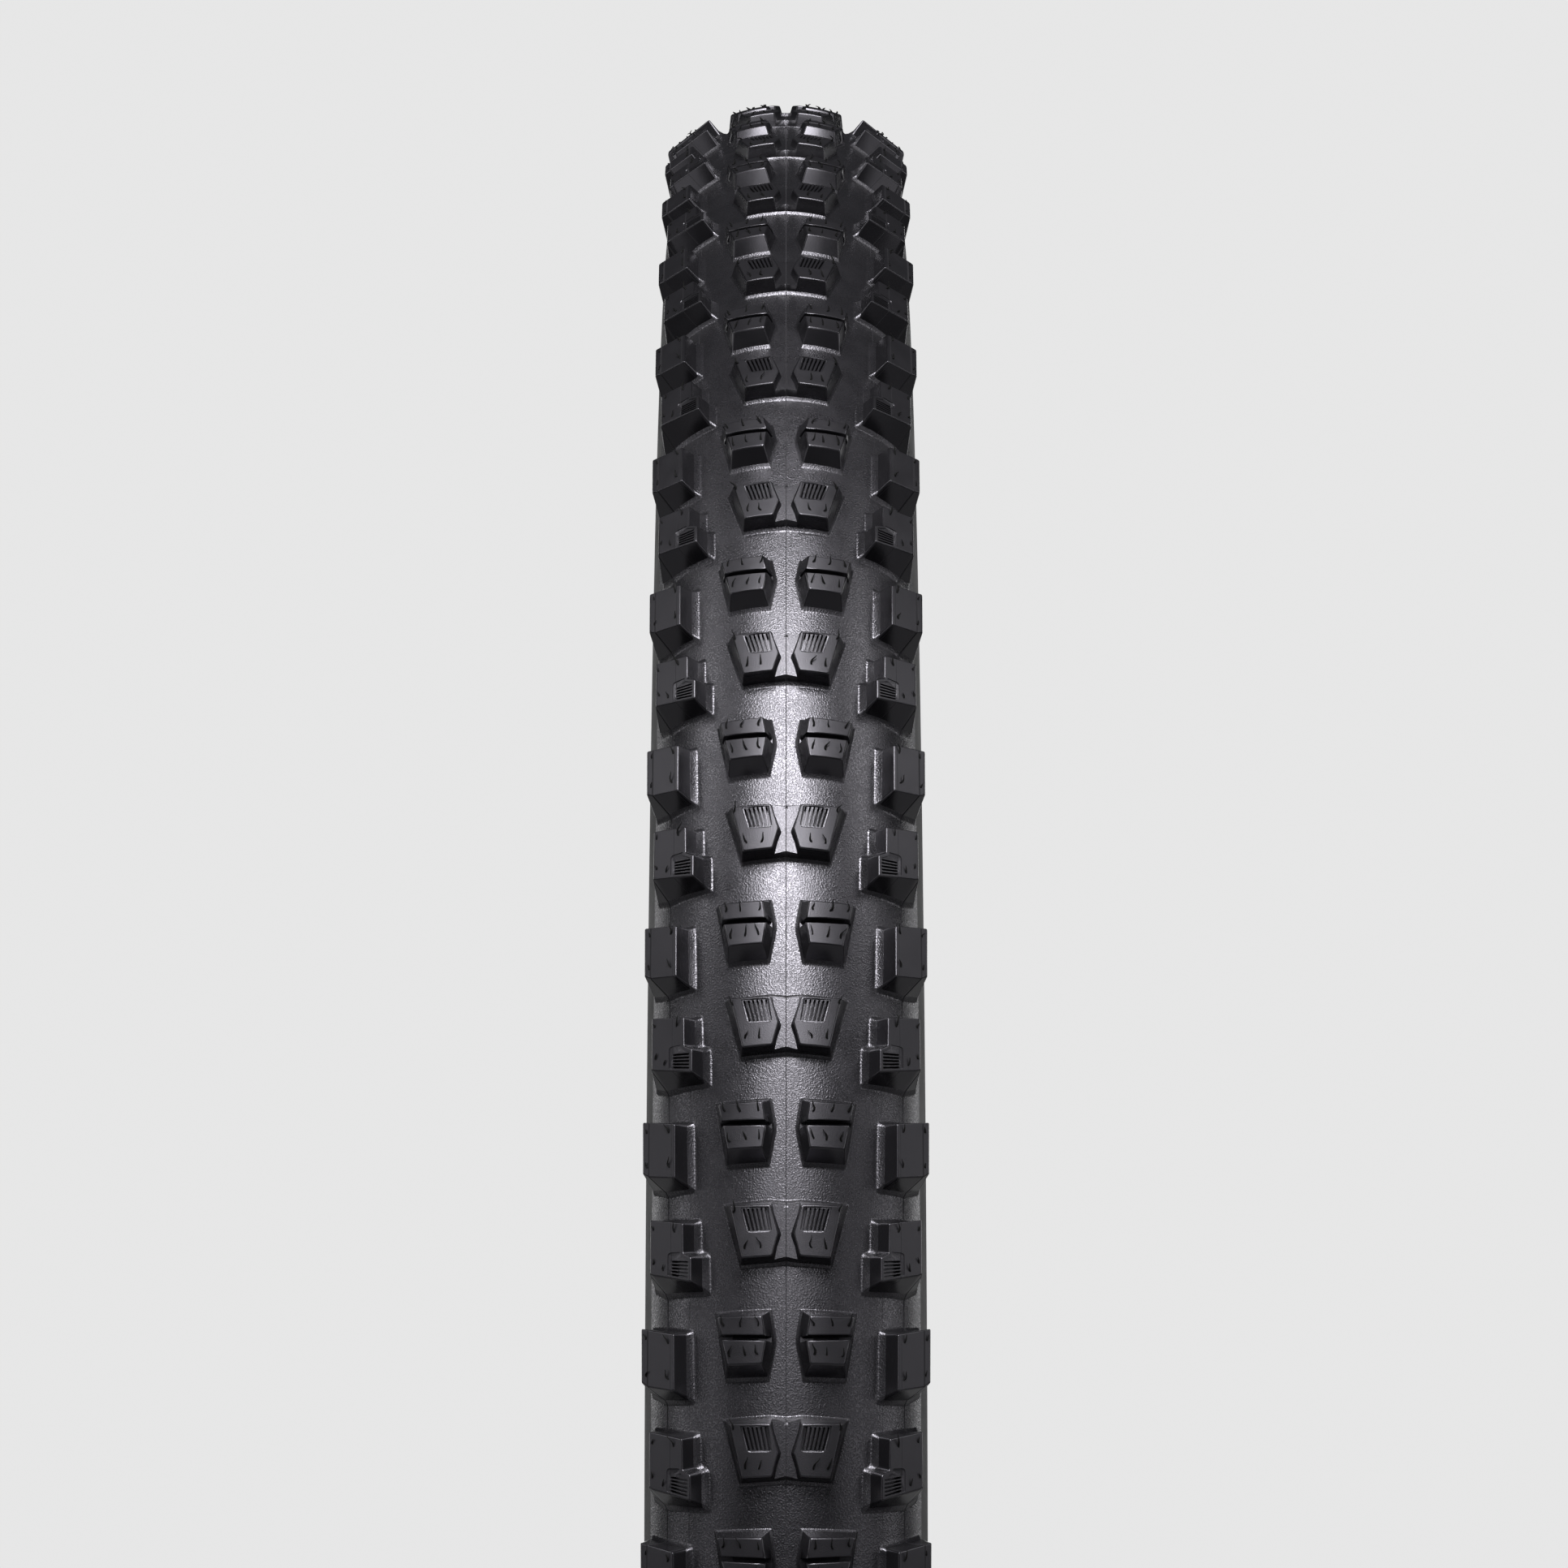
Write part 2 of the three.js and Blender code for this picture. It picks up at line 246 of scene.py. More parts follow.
class Shell:
    """A point is (u, s, rho) with grain and stipple, which tell the material how rough it is moulded and
    how much painted highlight its colour takes.
    """

    def __init__(self):
        self.points = []
        self.finish = []
        self.faces = []

    def add(self, flat, rho, finish):
        self.points.append((flat.x, flat.y, rho))
        self.finish.append(finish)
        return len(self.points) - 1

    def flat(self, ids):
        return [Vector(self.points[i][:2]) for i in ids]

    def walls(self, lower, upper):
        """Quads from one closed loop up to another; they face out when the loops run anticlockwise."""
        for i in range(len(lower)):
            j = (i + 1) % len(lower)
            self.faces.append((lower[i], lower[j], upper[j], upper[i]))

    def patch(self, outline, holes=(), free=()):
        """Triangles inside an outline and outside its holes, through the free points."""
        loops = [outline, *holes]
        ids = [i for loop in loops for i in loop] + list(free)
        edges = []
        start = 0
        for loop in loops:
            edges += [(start + k, start + (k + 1) % len(loop)) for k in range(len(loop))]
            start += len(loop)
        made = delaunay_2d_cdt(self.flat(ids), edges, [], 1, 1e-5, True)
        triangles, origins = made[2], made[3]
        corner = [ids[origin[0]] for origin in origins]
        border, *hole_plans = [self.flat(loop) for loop in loops]
        for triangle in triangles:
            tri = [corner[k] for k in triangle]
            a, b, c = self.flat(tri)
            middle = (a + b + c) / 3
            area = (b - a).cross(c - a) / 2
            clear = inside(middle, border) and not any(inside(middle, hole) for hole in hole_plans)
            if clear and abs(area) > THINNEST:
                self.faces.append(tuple(tri) if area > 0 else tuple(reversed(tri)))


# ---- Tread blocks -------------------------------------------------------------------------------
# A corner is (root y, root s, top y, top s), anticlockwise seen from outside with +Y right and +s up.

BASE_FINISH = (1.0, 0.0)      # grain, stipple
WALL_FINISH = (0.0, 0.0)
TOP_FINISH = (0.0, 1.0)
TIE_FINISH = (0.6, 0.3)
# Pocket floors and slot mouths: part grain and part stipple. Besides their roughness, this gives the ridges
# between the slots some painted highlight in the tread colour.
RIDGE_FINISH = (0.5, 0.2)
BEVEL = 0.3
CREASE = 0.06                 # between the grained foot and the smooth wall
FOOT_FADE = 0.1               # the grain fades by so much up the foot
CORNER_ROUND = 0.35
SHOULDER_ROOT_ROUND = 1.0     # the shoulder blocks' feet have rounder corners
TOP_SPACING = 2.2             # of the grid points on a top
TOP_MARGIN = 0.7              # between them and the edge


def mirrored(corners):
    return [(-root_y, root_s, -top_y, top_s) for root_y, root_s, top_y, top_s in reversed(corners)]


def center_foot(facing):
    """Reach and rise of the foot of a wall that faces this way in plan. It reaches out most behind."""
    behind = max(0.0, -facing.y) ** 2
    return 0.4 + 0.4 * behind, 0.55


def shoulder_foot(facing):
    """The same on a right shoulder block, where the foot rises most towards the centre line."""
    inwards = max(0.0, -facing.x) ** 2
    return 0.9 + 0.2 * inwards, 0.7 + 0.95 * inwards


def no_change(facing):
    return 0.0


class Block:
    """The loops of a block whose walls run straight from its root outline to its top outline."""

    def __init__(self, corners, row, top_radius, top_rho, foot, sharp=(), root_round=CORNER_ROUND):
        self.root = [Vector((plan_u(y, base_radius), row + s)) for y, s, _, _ in corners]
        self.top = [Vector((plan_u(y, top_radius), row + s)) for _, _, y, s in corners]
        self.roundings = [0.0 if i in sharp else CORNER_ROUND for i in range(len(corners))]
        self.root_roundings = [root_round if r else 0.0 for r in self.roundings]
        self.splits = []
        for i, here in enumerate(self.top):
            after = self.top[(i + 1) % len(self.top)]
            self.splits.append(max(1, round((after - here).length / TOP_SPACING)))
        self.top_rho = top_rho
        self.foot = foot
        middle = sum(self.top, Vector((0, 0))) / len(self.top)
        self.height = top_rho(middle.x) - base_rho(middle.x)

    def level(self, share_of, width_of):
        """Plan points and heights of a loop. Its share of the height and its widening are both functions of
        the way that a wall faces."""
        root, _ = rounded(grown(self.root, width_of), self.root_roundings, self.splits)
        top, _ = rounded(grown(self.top, width_of), self.roundings, self.splits)
        flats, rhos = [], []
        for i, (low, high) in enumerate(zip(root, top)):
            share = share_of(outward(top[i - 1], top[(i + 1) % len(top)]))
            flats.append(low.lerp(high, share))
            rhos.append(base_rho(low.x) * (1 - share) + self.top_rho(high.x) * share)
        return flats, rhos

    def ring(self, shell, share_of, width_of, finish):
        return [shell.add(flat, rho, finish) for flat, rho in zip(*self.level(share_of, width_of))]

    def starts(self):
        return rounded(self.top, self.roundings, self.splits)[1]

    def foot_rings(self, shell):
        """The grained ramp from the base up to the wall, and the start of the smooth wall above it."""
        rings = []
        for t in (0.0, 0.5, 1.0):
            def share_of(facing):
                return self.foot(facing)[1] * t * t / self.height

            def reach(facing):
                return self.foot(facing)[0] * (1 - t)

            rings.append(self.ring(shell, share_of, reach, (1.0 - FOOT_FADE * t, 0.0)))

        def wall_start(facing):
            return (self.foot(facing)[1] + CREASE) / self.height

        return rings + [self.ring(shell, wall_start, no_change, WALL_FINISH)]

    def top_rings(self, shell):
        """The rounded top edge, from the wall to the flat of the top."""
        rings = []
        for degrees in (0, 45, 90):
            angle = math.radians(degrees)
            share = 1 - BEVEL * (1 - math.sin(angle)) / self.height
            inset = BEVEL * (1 - math.cos(angle))
            finish = TOP_FINISH if degrees == 90 else WALL_FINISH
            rings.append(self.ring(shell, lambda facing: share, lambda facing: -inset, finish))
        return rings


def stack(shell, rings):
    for lower, upper in zip(rings, rings[1:]):
        shell.walls(lower, upper)


def cap(shell, ring, rho_at, openings=()):
    """The flat of a top, with grid points that keep it on its curved surface."""
    outline = shell.flat(ring)
    holes = [shell.flat(opening) for opening in openings]
    flats = grid_points(outline, holes, TOP_SPACING, TOP_MARGIN)
    shell.patch(ring, openings, [shell.add(p, rho_at(p.x), TOP_FINISH) for p in flats])


def plain_block(shell, block, detail=None):
    """Adds a block in one piece. Returns the loop on the base that it stands on."""
    rings = block.foot_rings(shell) + block.top_rings(shell)
    stack(shell, rings)
    openings = detail(shell, block) if detail else []
    cap(shell, rings[-1], block.top_rho, openings)
    return rings[0]


def parted_block(shell, body, share, parts, floor_finish, details=None):
    """Adds a block that parts at a share of its height. Each part is (Block, first corner, last corner):
    the part's outline is the body's from the first corner to the last one, and then its own corners."""
    rings = body.foot_rings(shell)
    ledge = body.ring(shell, lambda facing: share, no_change, floor_finish)
    stack(shell, rings + [ledge])
    starts = body.starts()
    corner_count = [CORNER_STEPS + 1 if r else 1 for r in body.roundings]
    count = len(ledge)
    floor = []
    for k, (part, first, last) in enumerate(parts):
        span = (starts[last] + corner_count[last] - 1 - starts[first]) % count + 1
        shared = [ledge[(starts[first] + i) % count] for i in range(span)]
        flats, rhos = part.level(lambda facing: share, no_change)
        own = [shell.add(flat, rho, floor_finish) for flat, rho in zip(flats[span:], rhos[span:])]
        foot = shared + own
        top = part.top_rings(shell)
        stack(shell, [foot, *top])
        cap(shell, top[-1], part.top_rho, details[k](shell, part) if details else [])
        floor += [shared[0], *reversed(own), shared[-1]]
        following = parts[(k + 1) % len(parts)][1]
        gap = (starts[following] - starts[last] - corner_count[last]) % count
        floor += [ledge[(starts[last] + corner_count[last] + i) % count] for i in range(gap)]

    def floor_rho(u):
        return base_rho(u) * (1 - share) + body.top_rho(u) * share

    flats = grid_points(shell.flat(floor), [], TIE_SPACING, TIE_MARGIN)
    shell.patch(floor, [], [shell.add(p, floor_rho(p.x), floor_finish) for p in flats])
    return rings[0]


SLOT_DEPTH = 1.1
SLOT_ROUND = 0.15
POCKET_DEPTH = 0.18
OPENING_DRAFT = 0.05          # by which an opening narrows towards its floor


def sink(shell, outline, roundings, depth, rho_at, rim_finish, floor_finish):
    """Walls of an opening in a top. Returns its rim and its floor loop."""
    narrowing = min(OPENING_DRAFT, depth / 3)
    flats, _ = rounded(outline, roundings, [1] * len(outline))
    floor_flats, _ = rounded(grown(outline, lambda d: -narrowing), roundings, [1] * len(outline))
    rim = [shell.add(flat, rho_at(flat.x), rim_finish) for flat in flats]
    floor = [shell.add(flat, rho_at(flat.x) - depth, floor_finish) for flat in floor_flats]
    shell.walls(rim, floor)
    return rim, floor


def bar(start, end, width):
    """The corners of a narrow slot from start to end, anticlockwise."""
    half = outward(start, end) * width / 2
    return [start + half, end + half, end - half, start - half]


def slotted_pocket(shell, block, pocket, roundings, slots, width):
    """A shallow pocket whose floor holds narrow slots. Returns the opening in the top."""
    rho_at = block.top_rho
    rim, floor = sink(shell, pocket, roundings, POCKET_DEPTH, rho_at, TOP_FINISH, RIDGE_FINISH)

    def floor_rho(u):
        return rho_at(u) - POCKET_DEPTH

    holes = []
    finishes = RIDGE_FINISH, WALL_FINISH
    for start, end in slots:
        corners = bar(start, end, width)
        mouth, bottom = sink(shell, corners, [SLOT_ROUND] * 4, SLOT_DEPTH, floor_rho, *finishes)
        shell.patch(bottom)
        holes.append(mouth)
    shell.patch(floor, holes)
    return [rim]


# Pockets, as corners (y, s) of the right half
LEAD_POCKET = [(9.25, 5.02), (3.55, 4.95), (2.75, -0.35), (7.9, -0.35)]
LEAD_ROUNDINGS = [0.0, 0.8, 0.8, 0.0]
LEAD_SLOTS = 6
LEAD_SLOT_WIDTH = 0.38
STEP_POCKET = [(19.72, -5.35), (19.72, -9.3), (24.0, -7.85), (24.0, -3.0), (21.4, -3.25), (21.4, -4.1)]
STEP_ROUNDINGS = [0.1, 0.1, 0.3, 0.8, 0.2, 0.2]
STEP_SLOTS = 5
STEP_SLOT_WIDTH = 0.44
STEP_SLOT_PITCH = 0.78


def lead_slots(side, row):
    """Slots of a paired block: side by side, running back from its leading edge."""
    def at(y, s):
        return Vector((side * plan_u(y, center_top_radius), row + s))

    def detail(shell, block):
        order = (1, 2, 3, 0) if side > 0 else (0, 3, 2, 1)
        pocket = [at(*LEAD_POCKET[i]) for i in order]
        slots = [(at(3.3 + 0.82 * k, 0.1), at(4.15 + 0.9 * k, 4.8)) for k in range(LEAD_SLOTS)]
        return slotted_pocket(shell, block, pocket, LEAD_ROUNDINGS, slots, LEAD_SLOT_WIDTH)
    return detail


def step_slots(row):
    """Slots of a stepped block: one behind the other, running sideways."""
    def at(y, s):
        return Vector((plan_u(y, shoulder_top_radius), row + s))

    def detail(shell, block):
        pocket = [at(y, s) for y, s in STEP_POCKET]
        slots = []
        for k in range(STEP_SLOTS):
            s = -5.65 - STEP_SLOT_PITCH * k
            slots.append((at(19.9, s), at(23.3, s + 0.7 + 0.1 * k)))
        return slotted_pocket(shell, block, pocket, STEP_ROUNDINGS, slots, STEP_SLOT_WIDTH)
    return detail


# Centre block with one deep slit across it: two parts on one foot.
SPLIT_CORNERS = [
    (14.2, 6.4, 13.85, 4.95),
    (3.1, 6.6, 4.85, 4.85),
    (2.2, 1.0, 4.25, 0.85),
    (2.2, -0.2, 4.2, -0.15),
    (3.5, -7.5, 4.85, -4.85),
    (12.0, -7.6, 11.8, -4.9),
    (13.2, 0.1, 12.87, 0.3),
    (13.4, 1.4, 13.07, 1.25),
]
SPLIT_SHARE = 0.35

# Centre block of the paired rows: a left and a right part, with a low tie between them.
PAIRED_RIGHT = [
    (2.5, -6.1, 2.8, -5.2),
    (9.15, -6.45, 8.95, -5.5),
    (12.5, 6.7, 11.3, 5.5),
    (3.2, 7.2, 3.1, 5.35),
]
PAIRED_ELBOW = (0.35, -0.33, 1.55, -0.5)
TIE_TRAILING = (0.0, -5.9, 0.0, -4.1)
TIE_LEADING = (0.0, 6.9, 0.0, 4.6)
TIE_SHARE = 0.52
TIE_SPACING = 1.1
TIE_MARGIN = 0.35

SHOULDER_CORNERS = [
    (27.0, 5.3, 29.35, 4.1),
    (19.1, 3.1, 22.7, 2.05),
    (18.85, -11.5, 22.65, -9.7),
    (24.0, -11.0, 28.0, -8.3),
    (27.0, -8.7, 29.25, -7.2),
]

STEPPED_CORNERS = [
    (26.5, 5.9, 27.6, 4.7),
    (17.6, 3.9, 20.95, 2.7),
    (17.5, -2.8, 20.85, -3.6),
    (15.9, -3.6, 19.25, -4.8),
    (15.8, -11.5, 19.25, -9.9),
    (24.0, -10.8, 27.0, -7.3),
    (26.5, -8.6, 27.6, -6.9),
]

SPLIT_ROW = 0.0
PAIRED_ROW = -PITCH_LENGTH / 2


def center_block(corners, row, sharp=()):
    return Block(corners, row, center_top_radius, center_top_rho, center_foot, sharp)


def split_block(shell, side):
    corners = SPLIT_CORNERS if side > 0 else mirrored(SPLIT_CORNERS)
    sharp = (2, 3, 6, 7) if side > 0 else (0, 1, 4, 5)
    body = center_block(corners, SPLIT_ROW, sharp)
    first = (7, 0, 1, 2) if side > 0 else (5, 6, 7, 0)
    second = (3, 4, 5, 6) if side > 0 else (1, 2, 3, 4)
    parts = []
    for chosen in (first, second):
        part = center_block([corners[i] for i in chosen], SPLIT_ROW, (0, 3))
        parts.append((part, chosen[0], chosen[-1]))
    return parted_block(shell, body, SPLIT_SHARE, parts, WALL_FINISH)


def paired_block(shell):
    left = mirrored(PAIRED_RIGHT)
    corners = [TIE_TRAILING, *PAIRED_RIGHT, TIE_LEADING, *left]
    body = center_block(corners, PAIRED_ROW)
    parts = [
        (center_block([*PAIRED_RIGHT, PAIRED_ELBOW], PAIRED_ROW), 1, 4),
        (center_block([*left, *mirrored([PAIRED_ELBOW])], PAIRED_ROW), 6, 9),
    ]
    details = [lead_slots(1, PAIRED_ROW), lead_slots(-1, PAIRED_ROW)]
    return parted_block(shell, body, TIE_SHARE, parts, TIE_FINISH, details)


def center_blocks(shell):
    return [split_block(shell, 1), split_block(shell, -1), paired_block(shell)]


def shoulder_blocks(shell):
    feet = []
    for corners, row, detail in (
        (SHOULDER_CORNERS, SPLIT_ROW, None),
        (STEPPED_CORNERS, PAIRED_ROW, step_slots(PAIRED_ROW)),
    ):
        measures = (shoulder_top_radius, shoulder_top_rho, shoulder_foot)
        block = Block(corners, row, *measures, root_round=SHOULDER_ROOT_ROUND)
        feet.append(plain_block(shell, block, detail))
    return feet


# ---- Tread strips -------------------------------------------------------------------------------

SEAM_SHIFT = 1.4              # the seam steps in here, round the wide foot of the stepped block
SEAM_STEP_IN = (-14.5, -12.6)
SEAM_STEP_OUT = (-3.4, -1.2)
BASE_MARGIN = 0.6             # between a block's foot and the grid points of the base


def ramp(value, start, end):
    share = min(1.0, max(0.0, (value - start) / (end - start)))
    return share * share * (3 - 2 * share)


def seam_u(s):
    """Plan place of the seam between centre and shoulder rubber."""
    s_here = (s - PAIRED_ROW + PITCH_LENGTH / 2) % PITCH_LENGTH - PITCH_LENGTH / 2
    shift = SEAM_SHIFT * (ramp(s_here, *SEAM_STEP_IN) - ramp(s_here, *SEAM_STEP_OUT))
    return plan_u(CENTER_STRIP_EDGE, base_radius) - shift


def outer_u(s):
    return plan_u(SHOULDER_STRIP_EDGE, base_radius)


def strip_pitch(first_u, last_u, raise_blocks):
    """One pitch of a strip with its blocks, closed at both sides and below.

    The sides, first_u and last_u, are functions of s.
    """
    shell = Shell()
    feet = raise_blocks(shell)
    ss = [PITCH_END - PITCH_LENGTH + CELL / 2 * j for j in range(2 * DIVISIONS + 1)]

    def row(s, columns, sink_by, finish):
        us = [first_u(s) + (last_u(s) - first_u(s)) * i / columns for i in range(columns + 1)]
        return [shell.add(Vector((u, s)), base_rho(u) - sink_by, finish) for u in us]

    columns = round((last_u(ss[0]) - first_u(ss[0])) / CELL)
    near = row(ss[0], columns, 0.0, BASE_FINISH)
    far = row(ss[-1], columns, 0.0, BASE_FINISH)
    left, right = zip(*[row(s, 1, 0.0, BASE_FINISH) for s in ss[1:-1]])
    outline = near + list(right) + far[::-1] + list(left)[::-1]
    flats = grid_points(shell.flat(outline), [shell.flat(foot) for foot in feet], CELL, BASE_MARGIN)
    shell.patch(outline, feet, [shell.add(p, base_rho(p.x), BASE_FINISH) for p in flats])

    rows = [row(s, max(2, columns // 3), TREAD_THICKNESS, WALL_FINISH) for s in ss]
    chains = [[near[-1], *right, far[-1]], *list(zip(*rows))[::-1], [near[0], *left, far[0]]]
    for one, other in zip(chains, chains[1:]):
        for j in range(len(ss) - 1):
            shell.faces.append((one[j], other[j], other[j + 1], one[j + 1]))
    return shell, near + rows[0], far + rows[-1]


def to_space(points, turn):
    """Metres, from plan points, turned round the axle."""
    u, s, rho = points[:, 0], points[:, 1], points[:, 2]
    radius = (EQUATOR_RADIUS + rho * np.cos(u / PLAN_SCALE)) * MM
    y = rho * np.sin(u / PLAN_SCALE) * MM
    angle = s / KNOB_CROWN_RADIUS + turn
    return np.stack([radius * np.cos(angle), y, radius * np.sin(angle)], axis=1)


class Body:
    """A mesh in the making: arrays of points in metres, of their grain and stipple, and the faces."""

    def __init__(self):
        self.points = []
        self.finish = []
        self.faces = []
        self.count = 0

    def take(self, points, faces):
        self.points.append(points)
        self.faces += [tuple(i + self.count for i in face) for face in faces]
        self.count += len(points)


def all_round(body, shell, near, far):
    """Repeats one pitch round the wheel. Each pitch ends on the points where the next one starts."""
    partner = dict(zip(far, near))
    kept = [i for i in range(len(shell.points)) if i not in partner]
    place = {i: k for k, i in enumerate(kept)}
    points = np.array(shell.points)[kept]
    finish = np.array(shell.finish)[kept]
    count = len(kept)
    for pitch in range(PITCHES):
        following = (pitch + 1) % PITCHES * count
        index = {i: pitch * count + place[i] for i in kept}
        index.update({i: following + place[partner[i]] for i in far})
        body.points.append(to_space(points, pitch * STEP))
        body.finish.append(finish)
        body.faces += [tuple(index[i] for i in face) for face in shell.faces]
    body.count += PITCHES * count


# ---- Vent hairs: the short spews that a tire mould leaves ------------------------------------------

HAIR_RADIUS = 0.2
HAIR_LENGTH = 2.5
HAIR_SIDES = 5
HAIR_STEPS = 5
CENTER_HAIRS = [
    # row, y, s, share of the full length
    (SPLIT_ROW, 12.6, 3.2, 1.0), (SPLIT_ROW, 9.2, 2.9, 1.0), (SPLIT_ROW, 5.6, 2.8, 1.0),
    (SPLIT_ROW, 11.4, -3.2, 1.0), (SPLIT_ROW, 8.3, -3.1, 1.0), (SPLIT_ROW, 5.6, -3.0, 1.0),
    (PAIRED_ROW, 8.3, -3.6, 1.0), (PAIRED_ROW, 5.3, -3.6, 1.0), (PAIRED_ROW, 10.8, 4.2, 1.0),
]
SHOULDER_HAIRS = [
    (SPLIT_ROW, 28.3, 1.6, 0.5), (SPLIT_ROW, 23.8, 0.4, 1.0),
    (SPLIT_ROW, 28.2, -6.1, 0.5), (SPLIT_ROW, 23.7, -7.2, 1.0),
    (PAIRED_ROW, 22.6, 1.2, 1.2), (PAIRED_ROW, 26.9, 2.3, 0.5),
    (PAIRED_ROW, 26.9, -4.8, 0.5), (PAIRED_ROW, 25.0, -6.6, 0.7),
]


def hair(body, root, out, lean, length, radius, sway):
    """A tapering spew that bends over and sways sideways, with both ends closed."""
    side = out.cross(lean).normalized()
    rows = []
    for step in range(HAIR_STEPS + 1):
        t = step / HAIR_STEPS
        rise = 0.3 * t * (1.8 - t) - 0.04
        middle = root + (out * rise + lean * 0.85 * t + side * sway * math.sin(5.0 * t)) * length
        size = radius * (1.2 - 0.85 * t)
        for k in range(HAIR_SIDES):
            angle = 2 * math.pi * k / HAIR_SIDES
            rows.append(middle + (side * math.cos(angle) + (out - lean * 0.5) * math.sin(angle)) * size)
    faces = []
    for step in range(HAIR_STEPS):
        for k in range(HAIR_SIDES):
            a = step * HAIR_SIDES + k
            b = step * HAIR_SIDES + (k + 1) % HAIR_SIDES
            faces.append((a, a + HAIR_SIDES, b + HAIR_SIDES, b))
    faces.append(tuple(range(HAIR_SIDES)))
    faces.append(tuple(reversed(range(HAIR_STEPS * HAIR_SIDES, (HAIR_STEPS + 1) * HAIR_SIDES))))
    body.take(np.array([tuple(p) for p in rows]), faces)


def vent_hairs(name, places, radius_at, sides, seed):
    """The vent hairs of one tread strip, as one piece. They lean forwards."""
    draw = random.Random(seed)
    body = Body()
    for pitch in range(PITCHES):
        for row, y, s, share in places:
            for side in sides:
                angle = pitch * STEP + (row + s + draw.uniform(-0.15, 0.15)) / KNOB_CROWN_RADIUS
                y_here = (y + draw.uniform(-0.2, 0.2)) * side
                outer = Vector((math.cos(angle), 0, math.sin(angle)))
                along = Vector((-math.sin(angle), 0, math.cos(angle)))
                slope = (radius_at(y_here + 0.1) - radius_at(y_here - 0.1)) / 0.2
                out = (outer - Vector((0, slope, 0))).normalized()
                sideways = along.cross(out)
                lean = (along + sideways * draw.uniform(-0.5, 0.5)).normalized()
                length = HAIR_LENGTH * share * draw.uniform(0.7, 1.2)
                size = HAIR_RADIUS * draw.uniform(0.8, 1.2)
                root = (outer * radius_at(y_here) + Vector((0, y_here, 0))) * MM
                hair(body, root, out, lean, length * MM, size * MM, draw.uniform(-0.12, 0.12))
    piece = make_object(f"{name}_vents", np.concatenate(body.points), body.faces)
    piece.data.materials.append(vent_rubber())
    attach(piece, "root")


# ---- Making objects -----------------------------------------------------------------------------

EDGE_ANGLE = math.radians(38)      # faces that meet at more than this show an edge


def shade(mesh, known):
    """Smooth shading. A corner takes the known direction of its point, or else the mean direction of the
    faces there, with the large ones counting most; over an edge it keeps its face's own direction."""
    corner_point = np.empty(len(mesh.loops), dtype=np.int32)
    mesh.loops.foreach_get("vertex_index", corner_point)
    corner_count = np.empty(len(mesh.polygons), dtype=np.int32)
    mesh.polygons.foreach_get("loop_total", corner_count)
    area = np.empty(len(mesh.polygons), dtype=np.float32)
    mesh.polygons.foreach_get("area", area)
    facing = np.empty((len(mesh.polygons), 3), dtype=np.float32)
    mesh.polygons.foreach_get("normal", facing.ravel())

    own = np.repeat(facing, corner_count, axis=0)
    weighted = np.repeat(facing * area[:, None], corner_count, axis=0)
    columns = [np.bincount(corner_point, weighted[:, k], len(mesh.vertices)) for k in range(3)]
    mean = np.stack(columns, axis=1)
    mean /= np.maximum(np.linalg.norm(mean, axis=1, keepdims=True), 1e-12)
    normals = own.copy()
    for choice in (mean, known):
        wanted = choice[corner_point]
        near = (own * wanted).sum(axis=1) > math.cos(EDGE_ANGLE)
        normals[near] = wanted[near]
    mesh.shade_smooth()
    mesh.normals_split_custom_set(normals.tolist())


def make_object(name, points, faces, known=None):
    mesh = bpy.data.meshes.new(name)
    mesh.from_pydata(points.tolist(), [], faces)
    mesh.update()
    shade(mesh, np.zeros((len(points), 3)) if known is None else known)
    piece = bpy.data.objects.new(name, mesh)
    bpy.context.scene.collection.objects.link(piece)
    return piece


def register(piece, node, material):
    piece.data.materials.append(material)
    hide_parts(node)
    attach(piece, "root")


def base_direction(y, height):
    """Outward direction of the tread base, sideways and up, at points of the section in metres."""
    return np.sign(y) * np.abs(y) ** (CROWN_POWER - 1), height ** (CROWN_POWER - 1)


def center_top_direction(y, height):
    return y, height - (KNOB_CROWN_RADIUS - KNOB_CROWN_ROUND - EQUATOR_RADIUS) * MM


def shoulder_top_direction(y, height):
    return np.sign(y) * SHOULDER_TOP_FALL, np.ones_like(y)


def moulded_directions(points, finish, top_direction):
    """The direction of the base or top surface at each of their points, and zero at all others."""
    radius = np.hypot(points[:, 0], points[:, 2])
    height = np.maximum(radius - EQUATOR_RADIUS * MM, 0.0)
    known = np.zeros_like(points)
    for column, direction in ((0, base_direction), (1, top_direction)):
        sideways, up = direction(points[:, 1], height)
        vectors = np.stack([up * points[:, 0] / radius, sideways, up * points[:, 2] / radius], axis=1)
        vectors /= np.linalg.norm(vectors, axis=1, keepdims=True)
        on_surface = finish[:, column] == 1.0
        known[on_surface] = vectors[on_surface]
    return known


def tread_piece(name, body, top_direction, material):
    points = np.concatenate(body.points)
    finish = np.concatenate(body.finish)
    known = moulded_directions(points, finish, top_direction)
    piece = make_object(f"{name}_rubber", points, body.faces, known)
    for column, label in enumerate(("grain", "stipple")):
        layer = piece.data.attributes.new(label, "FLOAT", "POINT")
        layer.data.foreach_set("value", np.ascontiguousarray(finish[:, column], dtype=np.float32))
    register(piece, name, material)


